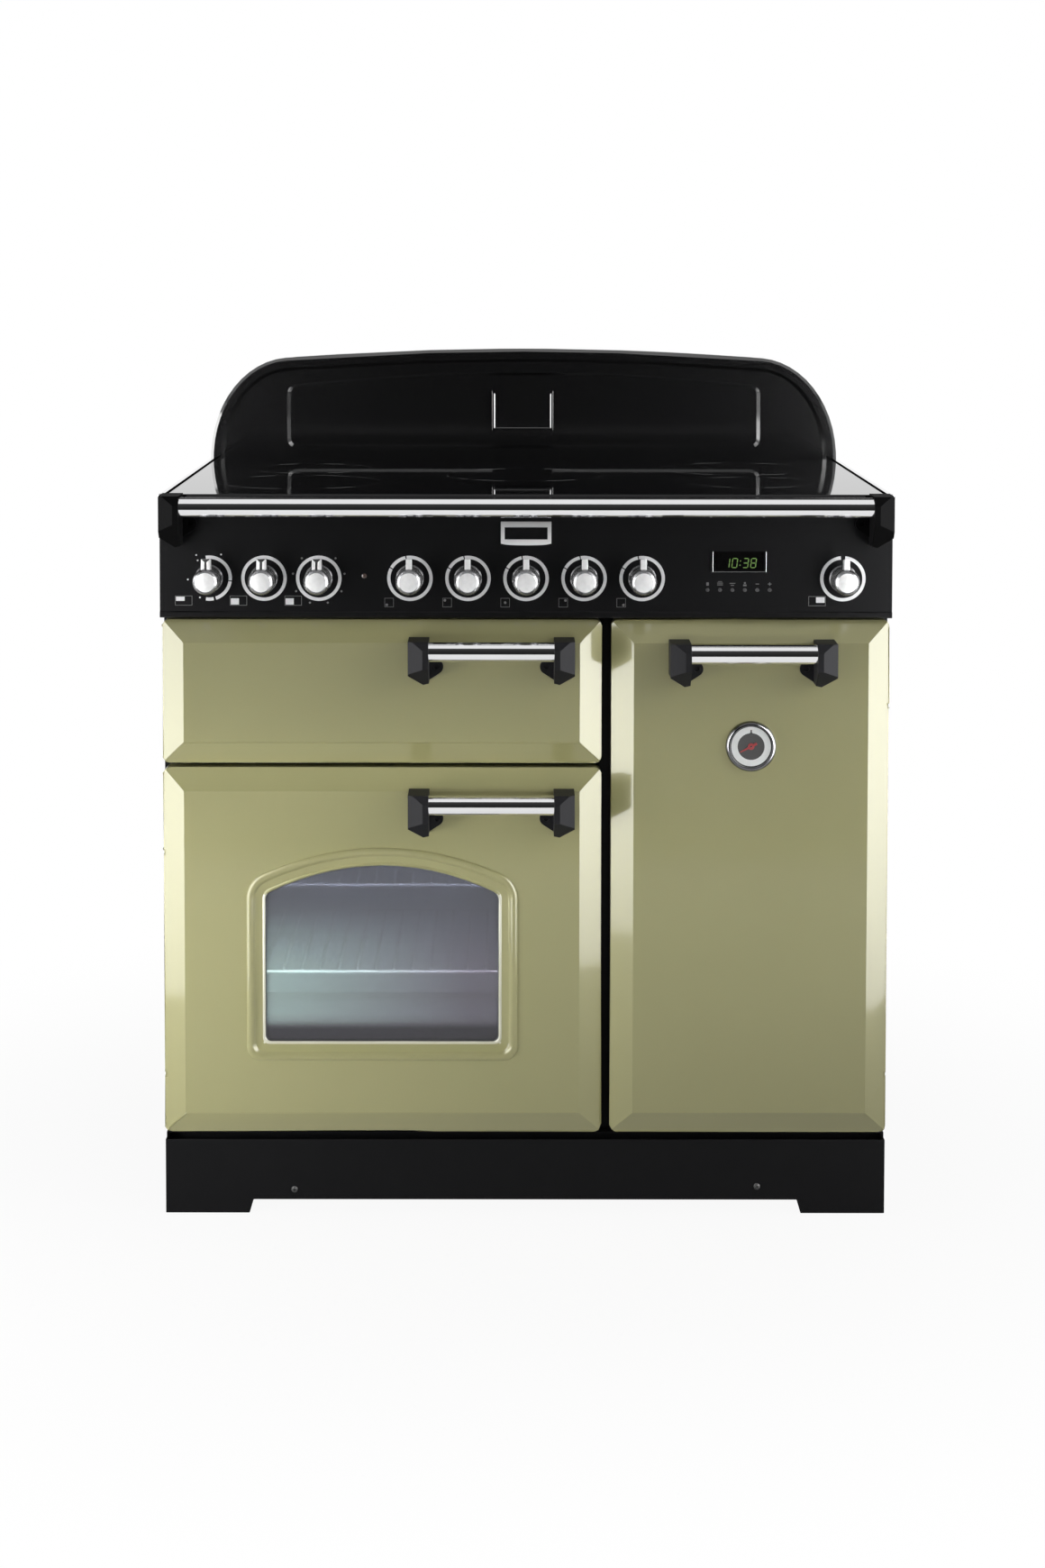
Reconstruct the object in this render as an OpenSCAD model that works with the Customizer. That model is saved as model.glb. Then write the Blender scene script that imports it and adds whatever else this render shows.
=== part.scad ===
// Range cooker with a drop-down grill door, an oven with a window and a tall oven.
// Millimetres, +Z up, the front faces -Y, the floor is z = 0.

/* [Carcass] */
// Width over the hob's trims
width = 900; // [880:1:960]
// Depth from the back panel to the faces of the doors
body_depth = 608; // [600:1:640]
// Thickness of the folded steel sheet
sheet = 1.5; // [1.2:0.1:2]
// Inset of the side panels under the overhanging hob
side_inset = 2; // [1.5:0.5:4]
// Height of the top edge of the plinth
plinth_h = 100; // [90:1:120]
// Inset of the plinth behind the faces of the doors
plinth_setback = 20; // [15:1:40]
// Height of the gap under the middle of the plinth
plinth_gap = 18; // [12:1:24]
// Length of each end of the plinth that reaches down to the floor
plinth_foot = 104; // [80:1:130]
// Underside of the base frame above the floor
base_clear = 60; // [50:1:66]
// Diameter of the pads of the levelling feet
foot_d = 40; // [30:1:50]
// Diameter of the stems of the levelling feet
stem_d = 10; // [8:1:12]

/* [Doors] */
// Height of the main oven door
oven_door_h = 454; // [440:1:480]
// Height of the grill door
grill_door_h = 176; // [170:1:190]
// Width of the tall oven door
tall_door_w = 341; // [330:1:350]
// Gap between the plinth and the oven doors
plinth_door_gap = 7; // [5:1:12]
// Gap between the oven door and the grill door above it
door_gap = 7; // [6:1:10]
// Gap between the left doors and the tall door
split_gap = 12; // [8:1:16]
// Gap between the doors and the control panel
panel_gap = 3; // [2.5:0.5:6]
// Inset of the doors from the full width
door_inset = 4; // [3:0.5:6]
// Full thickness of a door
door_t = 44; // [42:1:48]
// Depth of the side walls of a door's outer panel
skin_depth = 38; // [36:1:40]
// Width of the bevel round a door, seen from the front
bevel_w = 27; // [20:1:32]
// Depth of the bevel round a door
bevel_d = 15.5; // [10:0.5:18]
// Corner radius of a door
door_r = 8.5; // [4:0.5:12]
// Running gap between a closed door and the front frame
door_clear = 5; // [4.5:0.5:7]
// Step from the rim of a door's liner in to its raised tray
liner_step = 8; // [7:0.5:10]

/* [Oven window] */
// Width of the glass that shows in the window
window_w = 285; // [260:1:300]
// Height of the window's sill above the bottom of the door
window_sill = 116.5; // [105:0.5:130]
// Height of the straight sides of the window
window_side_h = 182; // [160:0.5:190]
// Rise of the arch over the window
window_rise = 35; // [25:1:45]
// Width of the moulding round the window
moulding_w = 24; // [20:1:28]
// Width of the raised bead along the moulding's outer edge
bead_w = 10; // [8:0.5:12]
// Height of the raised bead
bead_h = 4; // [2:0.5:6]
// Depth to which the moulding's inner step is pressed
moulding_d = 7; // [5:0.5:9]
// Thickness of a pane of oven glass
pane_t = 4; // [3:0.5:5]

/* [Handles and handrail] */
// Reach of the door handles in front of the doors
handle_reach = 52; // [48:1:60]
// Length of a door handle over its brackets
handle_l = 202; // [180:1:220]
// Diameter of a handle bar
bar_d = 24; // [20:1:26]
// Depth of the grill door's handle bar below the top of the door
handle_drop = 32.5; // [30:0.5:36]
// Distance from a left handle to its door's free side
handle_side = 34; // [25:1:45]
// Width of a handle bracket
bracket_w = 25; // [22:1:30]
// Depth of the socket in which a bar ends
socket = 7; // [5:0.5:9]
// Clearance of a bar in its sockets
socket_clear = 0.1; // [0.05:0.05:0.2]
// Diameter of the handrail
rail_d = 24; // [20:1:25]
// Distance of the handrail brackets in from the hob's ends
rail_inset = 6; // [4:0.5:10]
// Distance from the control panel to the middle of the handrail
rail_reach = 40; // [36:1:44]
// Depth of the middle of the handrail below the top of the hob
rail_drop = 13; // [12:0.5:15]
// Height of a handrail bracket
rail_bracket_h = 64; // [60:1:68]
// Rise of the handrail brackets over the top of the hob
rail_bracket_rise = 1; // [1:0.5:4]

/* [Hob] */
// Thickness of the hob glass
glass_t = 6; // [4:0.5:8]
// Width of the metal trims beside the glass
trim_w = 11; // [9:0.5:12]
// Depth of the tray under the glass
tray_d = 18; // [16:1:24]
// Diameter of the larger heating coils
coil_d = 205; // [180:1:210]
// Diameter of the smaller heating coils
small_coil_d = 160; // [140:1:180]

/* [Control panel] */
// Height of the control panel
panel_h = 144.5; // [138:0.5:150]
// Distance of the panel's face behind the faces of the doors
panel_setback = 8; // [6:0.5:12]
// Height of the lip along the panel's bottom edge
lip_h = 8; // [5:0.5:10]
// How far the lip stands out
lip_out = 2; // [1:0.5:3]
// Height of the knobs above the panel's bottom edge
knob_z = 48.5; // [44:0.5:56]
// Pitch of the oven knobs on the left
oven_knob_pitch = 67; // [64:1:72]
// Pitch of the hob knobs in the middle
hob_knob_pitch = 71; // [66:1:72]
// Distance from the ends of the hob to the outer knobs
outer_knob_in = 62.5; // [54:0.5:66]
// Diameter of a knob's hub
knob_d = 32; // [28:1:36]
// How far a knob stands out from the panel
knob_l = 48; // [42:1:52]
// Reach of a knob's pointer above its middle
pointer_reach = 28; // [25:1:31]
// Diameter of a control shaft
shaft_d = 6; // [5:0.5:8]
// Running clearance round the shafts and the hinge pins
run_clear = 0.05; // [0.03:0.01:0.1]
// Diameter of a rotary switch
switch_d = 38; // [34:1:42]
// Width of the clock window
clock_w = 65; // [60:1:80]
// Height of the clock window
clock_h = 25; // [22:1:30]
// Pitch of the clock buttons
button_pitch = 15.2; // [13:0.1:16]
// Diameter of a clock button
button_d = 4.4; // [4:0.1:6]
// Travel of a clock button
button_travel = 1; // [0.8:0.1:1.5]
// Diameter of the indicator lamp
lamp_d = 6.6; // [5:0.1:9]

/* [Ovens] */
// Lap of the left doors past each side of their cavities
door_lap = 44.5; // [40:0.5:60]
// Lap of the tall door past each side of its cavity
tall_door_lap = 45.5; // [40:0.5:60]
// Height of the main oven's cavity
cavity_h = 345; // [320:1:350]
// Height of the grill's cavity
grill_h = 110; // [100:1:115]
// Height of the tall oven's cavity
tall_cavity_h = 530; // [480:1:540]
// Depth of the ovens from the front frame to their rear walls
cavity_depth = 400; // [380:1:410]
// Depth of the grill's cavity
grill_depth = 340; // [300:1:380]
// Height of the oven floors above the bottoms of their doors
floor_rise = 53; // [48:1:60]
// Height of the grill floor above the bottom of its door
grill_floor_rise = 27; // [24:1:32]
// Reach of the pressed ledges into the cavity
ledge = 8; // [6:1:10]
// Height of the lower wire shelf above the oven floor
lower_shelf_z = 131; // [125:1:150]
// Height of the upper wire shelf above the lower one
shelf_pitch = 110; // [90:1:115]
// Diameter of a shelf's rim
rim_d = 6; // [5:0.5:8]
// Diameter of a shelf's cross wires
wire_d = 4; // [3:0.5:4.5]
// Diameter of the oven fan
fan_d = 150; // [130:1:160]

/* [Splashback] */
// Height of the splashback above the hob in the middle
back_h = 157; // [150:0.5:170]
// Width of the splashback's rounded shoulders
shoulder_w = 114.5; // [90:0.5:130]
// Height of the splashback's rounded shoulders
shoulder_h = 144; // [120:1:148]
// Thickness of the splashback over its rolled rim
back_t = 20; // [16:1:22]
// Width of the rolled rim
roll_w = 18; // [14:1:22]
// Distance from the ends of the hob to the splashback's pressed panel
pressed_in = 116.5; // [110:0.5:150]
// Depth of the pressed panel
press_d = 5; // [4:0.5:6]

/* [Hidden] */
knob_names = ["knob_grill", "knob_oven_function", "knob_oven_heat", "knob_hob_1", "knob_hob_2",
    "knob_hob_3", "knob_hob_4", "knob_hob_5", "knob_tall_oven"];
button_names = [for (i = [1:6]) str("clock_button_", i)];

$fn = 48;
green = [0.57, 0.56, 0.40];
black = [0.09, 0.09, 0.09];
chrome = [0.80, 0.81, 0.82];
enamel = [0.22, 0.22, 0.24];
steel = [0.62, 0.63, 0.64];
fit = 0.3;

// Heights, from the floor up
oven_z = plinth_h + plinth_door_gap;
grill_z = oven_z + oven_door_h + door_gap;
doors_top = grill_z + grill_door_h;
panel_z = doors_top + panel_gap;
tray_z = panel_z + panel_h;
glass_z = tray_z + sheet;
hob_z = glass_z + glass_t;
tall_door_h = doors_top - oven_z;

// Depths, measured forwards from the back panel
total_depth = body_depth + handle_reach;
frame_face = body_depth - door_t - door_clear;
panel_face = body_depth - panel_setback;
plinth_face = body_depth - plinth_setback;
cavity_back = frame_face - cavity_depth;
grill_back = frame_face - grill_depth;
splash_face = back_t + 3;

// Places across the cooker
side_x = width / 2 - side_inset;
inner_x = side_x - sheet;
left_x0 = door_inset - width / 2;
tall_x1 = width / 2 - door_inset;
tall_x0 = tall_x1 - tall_door_w;
left_x1 = tall_x0 - split_gap;
left_w = left_x1 - left_x0;
left_mid = (left_x0 + left_x1) / 2;
tall_mid = (tall_x0 + tall_x1) / 2;
left_handle_mid = left_x1 - handle_side - handle_l / 2;

// Cavities and shelves
flange = 14;
cavity_w = left_w - 2 * door_lap;
tall_cavity_w = tall_door_w - 2 * tall_door_lap;
oven_floor = oven_z + floor_rise;
grill_floor = grill_z + grill_floor_rise;
lower_shelf = oven_floor + lower_shelf_z;
upper_shelf = lower_shelf + shelf_pitch;
pan_ledge = 30;

// Oven fan
fan_z = oven_floor + cavity_h / 2;
motor_shaft_r = 4;
fan_cover_d = cavity_back + 42;

// Feet and terminal box
foot_x = inner_x - 46;
foot_back = 60;
foot_front = frame_face - 59;
terminal_x = -330;
terminal_z = plinth_h + 130;
terminal_w = 90;
terminal_h = 100;
terminal_d = 45;
inlet_r = 9;
inlet_wall = 6;

// Folded edges of the carcass
side_fold = 14;
frame_fold = 12;
frame_fold_d = 16;

// Hinges
hinge_in = 9;
hinge_e = 24;
grill_hinge_in = 18;
grill_hinge_e = 22.5;
pin_r = 3;
leaf_r = 7;
grill_leaf_r = 6;
leaf_t = 5;
leaf_gap = 0.5;
foot_t = 2.5;
hinge_foot = min(door_lap, tall_door_lap) - flange - hinge_in - 1.5;
pin_reach = 10;
oven_hinge_z = [oven_z + 72, oven_z + oven_door_h - 105];
tall_hinge_z = [oven_z + 72, doors_top - 105];
grill_hinge_x = [left_x0 + 60, left_x1 - 60];
oven_hinge_x = left_x0 + hinge_in;
tall_hinge_x = tall_x1 - hinge_in;
grill_hinge_z = grill_z + grill_hinge_in;

// Knobs and clock
outer_knob_x = width / 2 - outer_knob_in;
oven_knob_x = [for (i = [0:2]) -outer_knob_x + i * oven_knob_pitch];
hob_knob_x = [for (i = [-2:2]) i * hob_knob_pitch];
knob_x = concat(oven_knob_x, hob_knob_x, [outer_knob_x]);
knob_height = panel_z + knob_z;
oven_pointer_w = 9.5;
hob_pointer_w = 6.5;
clock_shift = 4.65;
clock_x = (hob_knob_x[4] + outer_knob_x) / 2 - clock_shift;
clock_z = panel_z + 69.5;
button_z = panel_z + 34.5;
lamp_x = (oven_knob_x[2] + hob_knob_x[0]) / 2;
lamp_z = knob_height + 3;
switch_l = 24;
shaft_in = 12;
board_gap = 6;

// Thermometer on the tall door
gauge_z = doors_top - 153.5;
gauge_r = 31;
gauge_body_r = 24;
gauge_depth = 16;
stem_r = 4;
spindle_r = 1.2;

// Arched window
arch_r = (pow(window_w / 2, 2) + pow(window_rise, 2)) / (2 * window_rise);
arch_a = asin(window_w / 2 / arch_r);
window_z = oven_z + window_sill;
pane_lap = 18;

// Handles and handrail
bar_out = handle_reach - bar_d / 2 - 2;
grill_bar_z = doors_top - handle_drop;
tall_bar_z = grill_bar_z - 2.5;
oven_bar_z = oven_z + oven_door_h - handle_drop - 4;
needle_l = 15;
needle_rest = 118;
rail_z = hob_z - rail_drop;
rail_half = width / 2 - rail_inset - bracket_w;
rail_d_out = rail_reach + rail_d / 2 + 2;
bracket_rise = 13;
bracket_fall = 42;
bracket_flat = 7;
outer_slope = 0.45;
facet_slope = 0.57;
facet_h = 10;
rail_facet_h = 11;
bracket_skirt = 20;
lobe_t = 5;
lobe_r = 9;
screw_r = 3.5;

// Hob
tray_in = 24;
tray_back = 50;
tray_front = frame_face - 20;
tray_span = tray_front - tray_back;
coil_x = width / 2 - 160;
rear_coil = tray_back + 0.3 * tray_span;
mid_coil = tray_back + 0.51 * tray_span;
front_coil = tray_back + 0.75 * tray_span;
coils = [[-coil_x, front_coil, coil_d], [-coil_x, rear_coil, small_coil_d], [0, mid_coil, coil_d],
    [coil_x, front_coil, small_coil_d], [coil_x, rear_coil, coil_d]];

// Splashback
splash_field = splash_face - 6;
pressed_w = width - 2 * pressed_in;
pressed_r = 9;

function back(d) = total_depth / 2 - d;
slope = bevel_d / bevel_w;
lean = sqrt(1 + slope * slope);

// Half width of a door's bevel at depth e behind its face, all surfaces moved inwards by inset
function bevel_half(size, inset, e) = size / 2 - bevel_w + (e - inset * lean) / slope;

// Points of an arc about [cx, cz] from angle a0 to a1
function arc(cx, cz, rx, rz, a0, a1, n) =
    [for (i = [0:n]) let (a = a0 + (a1 - a0) * i / n) [cx + rx * cos(a), cz + rz * sin(a)]];

// Box between two places across, two depths and two heights
module block(x0, x1, d0, d1, z0, z1) {
    translate([x0, back(d1), z0]) cube([x1 - x0, d1 - d0, z1 - z0]);
}

// Extrudes an outline drawn as seen from the front, from depth d forwards
module forward(d, h) {
    translate([0, back(d), 0]) rotate([90, 0, 0]) linear_extrude(h) children();
}

// Extrudes an outline of [forward, up] points across the cooker, measured forwards from depth d
module across(d, x0, x1) {
    translate([x0, back(d), 0]) rotate([90, 0, 90]) linear_extrude(x1 - x0) mirror([1, 0]) children();
}

module peg(x, z, d0, d1, r) {
    translate([x, back(d0), z]) rotate([90, 0, 0]) cylinder(r = r, h = d1 - d0);
}

module rod(x0, x1, d, z, r) {
    translate([x0, back(d), z]) rotate([0, 90, 0]) cylinder(r = r, h = x1 - x0);
}

module post(x, d, z0, z1, r) {
    translate([x, back(d), z0]) cylinder(r = r, h = z1 - z0);
}

// Turns a profile of [radius, forward] points about an axis that faces forwards
module turned(x, z, d, profile) {
    translate([x, back(d), z]) rotate([90, 0, 0]) rotate_extrude() polygon(profile);
}

module rounded(w, h, r) {
    offset(r = r) offset(delta = -r) square([w, h]);
}

/* Carcass */

module base_frame() {
    x1 = inner_x - sheet - fit;
    front = frame_face - sheet;
    nut_z0 = base_clear - 10;
    nut_z1 = base_clear + sheet + 12;
    color(steel) difference() {
        union() {
            difference() {
                block(-x1, x1, sheet, front, base_clear, plinth_h);
                block(-x1 + sheet, x1 - sheet, 2 * sheet, front - sheet, base_clear + sheet, plinth_h + 1);
            }
            for (x = [-1, 1], d = [foot_back, foot_front])
                post(x * foot_x, d, nut_z0, nut_z1, stem_d / 2 + 6);
        }
        for (x = [-1, 1], d = [foot_back, foot_front])
            post(x * foot_x, d, nut_z0 - 1, nut_z1 + 1, stem_d / 2 + run_clear);
    }
}

module levelling_feet() {
    color(steel) for (x = [-1, 1], d = [foot_back, foot_front])
        translate([x * foot_x, back(d), 0]) union() {
            rotate_extrude() polygon([[0, 0], [foot_d / 2, 0], [foot_d / 2, 5],
                [foot_d / 2 - 4, 8], [0, 8]]);
            cylinder(d = stem_d, h = base_clear + 20);
            translate([0, 0, base_clear - 20]) cylinder(d = stem_d + 9, h = 10, $fn = 6);
        }
}

module side_panels() {
    fold_x = inner_x - side_fold;
    color(steel) for (s = [0, 1]) mirror([s, 0, 0]) difference() {
        block(fold_x, side_x, 0, frame_face, plinth_h, tray_z);
        block(fold_x - 1, inner_x, sheet, frame_face + 1, plinth_h + sheet, tray_z - sheet);
        block(fold_x - 1, inner_x, frame_face - sheet, frame_face + 1, plinth_h - 1, tray_z + 1);
    }
}

module rear_panel() {
    x1 = inner_x - fit;
    slot_l = 60;
    slot_h = 6;
    slot_pitch = inner_x * 0.18;
    color(steel) difference() {
        block(-x1, x1, sheet, 2 * sheet, plinth_h + sheet + fit, tray_z - sheet - fit);
        for (slot_z = [tray_z - 80, tray_z - 104], i = [-4:4])
            block(i * slot_pitch - slot_l / 2, i * slot_pitch + slot_l / 2, 0, 4 * sheet,
                slot_z, slot_z + slot_h);
        peg(terminal_x, terminal_z, 0, 4 * sheet, inlet_r + inlet_wall + fit);
    }
}

module front_frame() {
    x1 = inner_x;
    fold_x = inner_x - side_fold;
    fold_d = frame_face - frame_fold_d;
    color(black) difference() {
        union() {
            block(-x1, x1, frame_face - sheet, frame_face, plinth_h, tray_z);
            for (s = [0, 1]) mirror([s, 0, 0]) difference() {
                block(fold_x - frame_fold, fold_x, fold_d, frame_face - sheet, plinth_h + 4, tray_z - 4);
                block(fold_x - frame_fold - 1, fold_x - sheet, fold_d - 1, frame_face - sheet,
                    plinth_h, tray_z);
            }
        }
        forward(frame_face - 2 * sheet, 4 * sheet) {
            translate([left_mid - cavity_w / 2 - sheet, oven_floor - sheet])
                square([cavity_w + 2 * sheet, cavity_h + 2 * sheet]);
            translate([left_mid - cavity_w / 2 - sheet, grill_floor - sheet])
                square([cavity_w + 2 * sheet, grill_h + 2 * sheet]);
            translate([tall_mid - tall_cavity_w / 2 - sheet, oven_floor - sheet])
                square([tall_cavity_w + 2 * sheet, tall_cavity_h + 2 * sheet]);
            translate([-x1 + 30, panel_z + 12]) square([2 * x1 - 60, panel_h - 32]);
        }
    }
}

module plinth() {
    x1 = inner_x;
    color(black) union() {
        forward(plinth_face - sheet, sheet) polygon([[-x1, 1], [-x1 + plinth_foot, 1],
            [-x1 + plinth_foot + 5, plinth_gap], [x1 - plinth_foot - 5, plinth_gap],
            [x1 - plinth_foot, 1], [x1, 1], [x1, plinth_h], [-x1, plinth_h]]);
        block(-x1, x1, frame_face - 1, plinth_face, plinth_h - sheet, plinth_h);
        for (s = [0, 1]) mirror([s, 0, 0])
            block(x1 - sheet, x1, frame_face - 40, plinth_face, 1, plinth_h);
        block(-x1 + plinth_foot + 5, x1 - plinth_foot - 5, plinth_face - 12, plinth_face,
            plinth_gap, plinth_gap + sheet);
    }
}

module terminal_box() {
    d0 = 2 * sheet;
    half = terminal_w / 2;
    low = terminal_z - 35;
    wall = 3;
    color(black) difference() {
        union() {
            block(terminal_x - half, terminal_x + half, d0, d0 + terminal_d, low, low + terminal_h);
            peg(terminal_x, terminal_z, 0, d0 + 1, inlet_r + inlet_wall);
        }
        block(terminal_x - half + wall, terminal_x + half - wall, d0 + wall, d0 + terminal_d - wall,
            low + wall, low + terminal_h - wall);
        peg(terminal_x, terminal_z, -1, d0 + wall + 1, inlet_r);
    }
}

/* Hinges and seals */

// Leaf hinge of a side-hung door: foot on the frame, leaf, and pin through the leaf's round end
module side_leaf(x, z, inward) {
    d = body_depth - hinge_e;
    union() {
        block(min(x - leaf_r, x + inward * hinge_foot), max(x + leaf_r, x + inward * hinge_foot),
            frame_face, frame_face + foot_t, z - 18, z + 18);
        block(x - leaf_r, x + leaf_r, frame_face, d, z - leaf_t / 2, z + leaf_t / 2);
        post(x, d, z - leaf_t / 2, z + leaf_t / 2, leaf_r);
        post(x, d, z - leaf_t / 2 - pin_reach, z + leaf_t / 2 + pin_reach, pin_r);
    }
}

module grill_leaf(x) {
    d = body_depth - grill_hinge_e;
    foot_top = grill_floor - flange - fit;
    foot_low = foot_top - 12;
    leaf_d = frame_face + sheet + fit;
    union() {
        block(x - 16, x + 16, frame_face, frame_face + foot_t, foot_low, foot_top);
        block(x - leaf_t / 2, x + leaf_t / 2, leaf_d, leaf_d + 4, foot_low, grill_hinge_z);
        block(x - leaf_t / 2, x + leaf_t / 2, leaf_d, d, grill_hinge_z - grill_leaf_r,
            grill_hinge_z + grill_leaf_r);
        rod(x - leaf_t / 2, x + leaf_t / 2, d, grill_hinge_z, grill_leaf_r);
        rod(x - leaf_t / 2 - pin_reach, x + leaf_t / 2 + pin_reach, d, grill_hinge_z, pin_r);
    }
}

module door_hinges() {
    color(steel) {
        for (z = oven_hinge_z) side_leaf(oven_hinge_x, z, 1);
        for (z = tall_hinge_z) side_leaf(tall_hinge_x, z, -1);
        for (x = grill_hinge_x) grill_leaf(x);
    }
}

// Notch in a door for a side leaf, open to the side and to the back
module side_notch(x, z, outward) {
    far = x + outward * (hinge_in + 1);
    near = x - outward * (leaf_r + 1);
    block(min(far, near), max(far, near), 0, body_depth - hinge_e + leaf_r + 2,
        z - leaf_t / 2 - leaf_gap, z + leaf_t / 2 + leaf_gap);
}

module grill_notch(x) {
    block(x - leaf_t / 2 - leaf_gap, x + leaf_t / 2 + leaf_gap, 0,
        body_depth - grill_hinge_e + grill_leaf_r + leaf_gap, grill_z - 1, grill_hinge_z + leaf_r);
}

module seal_ring(mid, w, h) {
    thick = door_clear - sheet - fit;
    forward(frame_face + sheet, thick) difference() {
        translate([mid - w / 2 - 10, oven_floor - 10]) rounded(w + 20, h + 20, 12);
        translate([mid - w / 2 - 2, oven_floor - 2]) rounded(w + 4, h + 4, 5);
    }
}

module door_seals() {
    color([0.2, 0.2, 0.2]) {
        seal_ring(left_mid, cavity_w, cavity_h);
        seal_ring(tall_mid, tall_cavity_w, tall_cavity_h);
    }
}

/* Cavities */

// Enamelled box, open in front, with a flange that sits on the front frame
module cavity(mid, floor_z, w, h, back_d) {
    difference() {
        union() {
            block(mid - w / 2 - sheet, mid + w / 2 + sheet, back_d - sheet, frame_face + sheet,
                floor_z - sheet, floor_z + h + sheet);
            block(mid - w / 2 - flange, mid + w / 2 + flange, frame_face, frame_face + sheet,
                floor_z - flange, floor_z + h + flange);
        }
        block(mid - w / 2, mid + w / 2, back_d, frame_face + sheet + 1, floor_z, floor_z + h);
    }
}

// Pair of pressed ledges whose tops are at z
module ledges(mid, w, z, d0, d1) {
    ledge_h = 7;
    for (s = [0, 1]) translate([mid, 0, 0]) mirror([s, 0, 0])
        block(w / 2 - ledge, w / 2 + 0.5, d0, d1, z - ledge_h, z);
}

module grill_cavity() {
    color(enamel) union() {
        cavity(left_mid, grill_floor, cavity_w, grill_h, grill_back);
        ledges(left_mid, cavity_w, grill_floor + pan_ledge, grill_back + 20, frame_face - 30);
    }
}

module oven_cavity() {
    color(enamel) difference() {
        union() {
            cavity(left_mid, oven_floor, cavity_w, cavity_h, cavity_back);
            for (z = [lower_shelf - shelf_pitch, lower_shelf, upper_shelf])
                ledges(left_mid, cavity_w, z - rim_d / 2 - fit, cavity_back + 60, frame_face - 30);
        }
        peg(left_mid, fan_z, cavity_back - 2 * sheet, cavity_back + sheet, motor_shaft_r + 2);
    }
}

module tall_oven_cavity() {
    levels = 6;
    color(enamel) union() {
        cavity(tall_mid, oven_floor, tall_cavity_w, tall_cavity_h, cavity_back);
        for (i = [1:levels])
            ledges(tall_mid, tall_cavity_w, oven_floor + i * tall_cavity_h / (levels + 1),
                cavity_back + 20, frame_face - 30);
    }
}

module oven_fan_cover() {
    w = cavity_w - 6;
    h = cavity_h - 30;
    color(steel) difference() {
        union() {
            block(left_mid - w / 2, left_mid + w / 2, fan_cover_d - sheet, fan_cover_d,
                fan_z - h / 2, fan_z + h / 2);
            for (x = [-1, 1], z = [-1, 1])
                peg(left_mid + x * (w / 2 - 27), fan_z + z * (h / 2 - 27), cavity_back, fan_cover_d - 0.2, 5);
        }
        for (ring = [[1, 0], [8, 0.12], [14, 0.24], [20, 0.36]], i = [1:ring[0]])
            peg(left_mid + ring[1] * fan_d * cos(i * 360 / ring[0]),
                fan_z + ring[1] * fan_d * sin(i * 360 / ring[0]),
                fan_cover_d - 2 * sheet, fan_cover_d + 1, 5);
    }
}

module oven_fan() {
    d0 = cavity_back + 10;
    blades = 9;
    color(steel) difference() {
        union() {
            peg(left_mid, fan_z, d0, d0 + 18, motor_shaft_r + 6);
            peg(left_mid, fan_z, d0, d0 + sheet, fan_d / 2 - 4);
            for (i = [1:blades]) translate([left_mid, 0, fan_z]) rotate([0, i * 360 / blades, 0])
                block(motor_shaft_r + 20, fan_d / 2, d0, d0 + 20, -0.8, 0.8);
        }
        peg(left_mid, fan_z, d0 - 1, d0 + 19, motor_shaft_r + run_clear);
    }
}

module oven_fan_motor() {
    wall = cavity_back - sheet;
    color(steel) union() {
        peg(left_mid, fan_z, wall - 40, wall - 3, 34);
        peg(left_mid, fan_z, wall - 4, wall, 46);
        peg(left_mid, fan_z, wall - 1, cavity_back + 27, motor_shaft_r);
    }
}

// Heater bent to and fro under the grill's ceiling, hung from two straps
module grill_element() {
    runs = 7;
    pitch = 32;
    r = 4;
    half = cavity_w / 2 - 55;
    strap_x = half - 60;
    z = grill_floor + grill_h - 22;
    d0 = grill_back + 60;
    color([0.25, 0.22, 0.2]) union() {
        for (i = [0:runs - 1]) rod(left_mid - half, left_mid + half, d0 + i * pitch, z, r);
        for (i = [0:runs - 2]) {
            turn = i % 2 == 0 ? 1 : -1;
            translate([left_mid + turn * half, back(d0 + (i + 0.5) * pitch), z])
                rotate([0, 0, -turn * 90]) rotate_extrude(angle = 180)
                    translate([pitch / 2, 0]) circle(r = r, $fn = 24);
        }
        for (x = [left_mid - strap_x, left_mid + strap_x]) {
            block(x - 6, x + 6, d0 - 10, d0 + (runs - 1) * pitch + 10, z + r - 1, z + r + 1);
            for (d = [d0 - 8, d0 + (runs - 1) * pitch + 8]) post(x, d, z + r, grill_floor + grill_h, 3);
        }
    }
}

module grill_pan() {
    w = cavity_w - 6;
    d1 = frame_face - 22;
    d0 = grill_back + 25;
    z = grill_floor + pan_ledge + fit;
    rim = 12;
    wall = 1.5;
    deep = 24;
    tray = w / 2 - ledge - 4;
    color(enamel) difference() {
        union() {
            block(left_mid - w / 2, left_mid + w / 2, d0, d1, z, z + 2);
            block(left_mid - tray, left_mid + tray, d0 + rim, d1 - rim, z - deep, z + 1);
        }
        block(left_mid - tray + wall, left_mid + tray - wall, d0 + rim + wall, d1 - rim - wall,
            z - deep + wall, z + 3);
    }
}

// Wire shelf that slides on the ledges: two side rods, two cross rods and the wires welded over them
module wire_shelf(z) {
    w = cavity_w - 4;
    d0 = fan_cover_d + 8;
    d1 = frame_face - 20;
    x1 = w / 2 - rim_d / 2;
    cross_r = rim_d / 2 - 0.5;
    cross_in = rim_d / 2 + 1;
    wires = 18;
    color(chrome) union() {
        for (s = [-1, 1]) peg(left_mid + s * x1, z, d0, d1, rim_d / 2);
        for (d = [d0 + cross_in, d1 - cross_in]) rod(left_mid - x1, left_mid + x1, d, z, cross_r);
        for (i = [1:wires]) peg(left_mid - x1 + i * 2 * x1 / (wires + 1), z + cross_r - 0.7,
            d0 + cross_in - 0.6, d1 - cross_in + 0.6, wire_d / 2);
    }
}

module oven_shelf_lower() wire_shelf(lower_shelf);
module oven_shelf_upper() wire_shelf(upper_shelf);

/* Doors */

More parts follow.
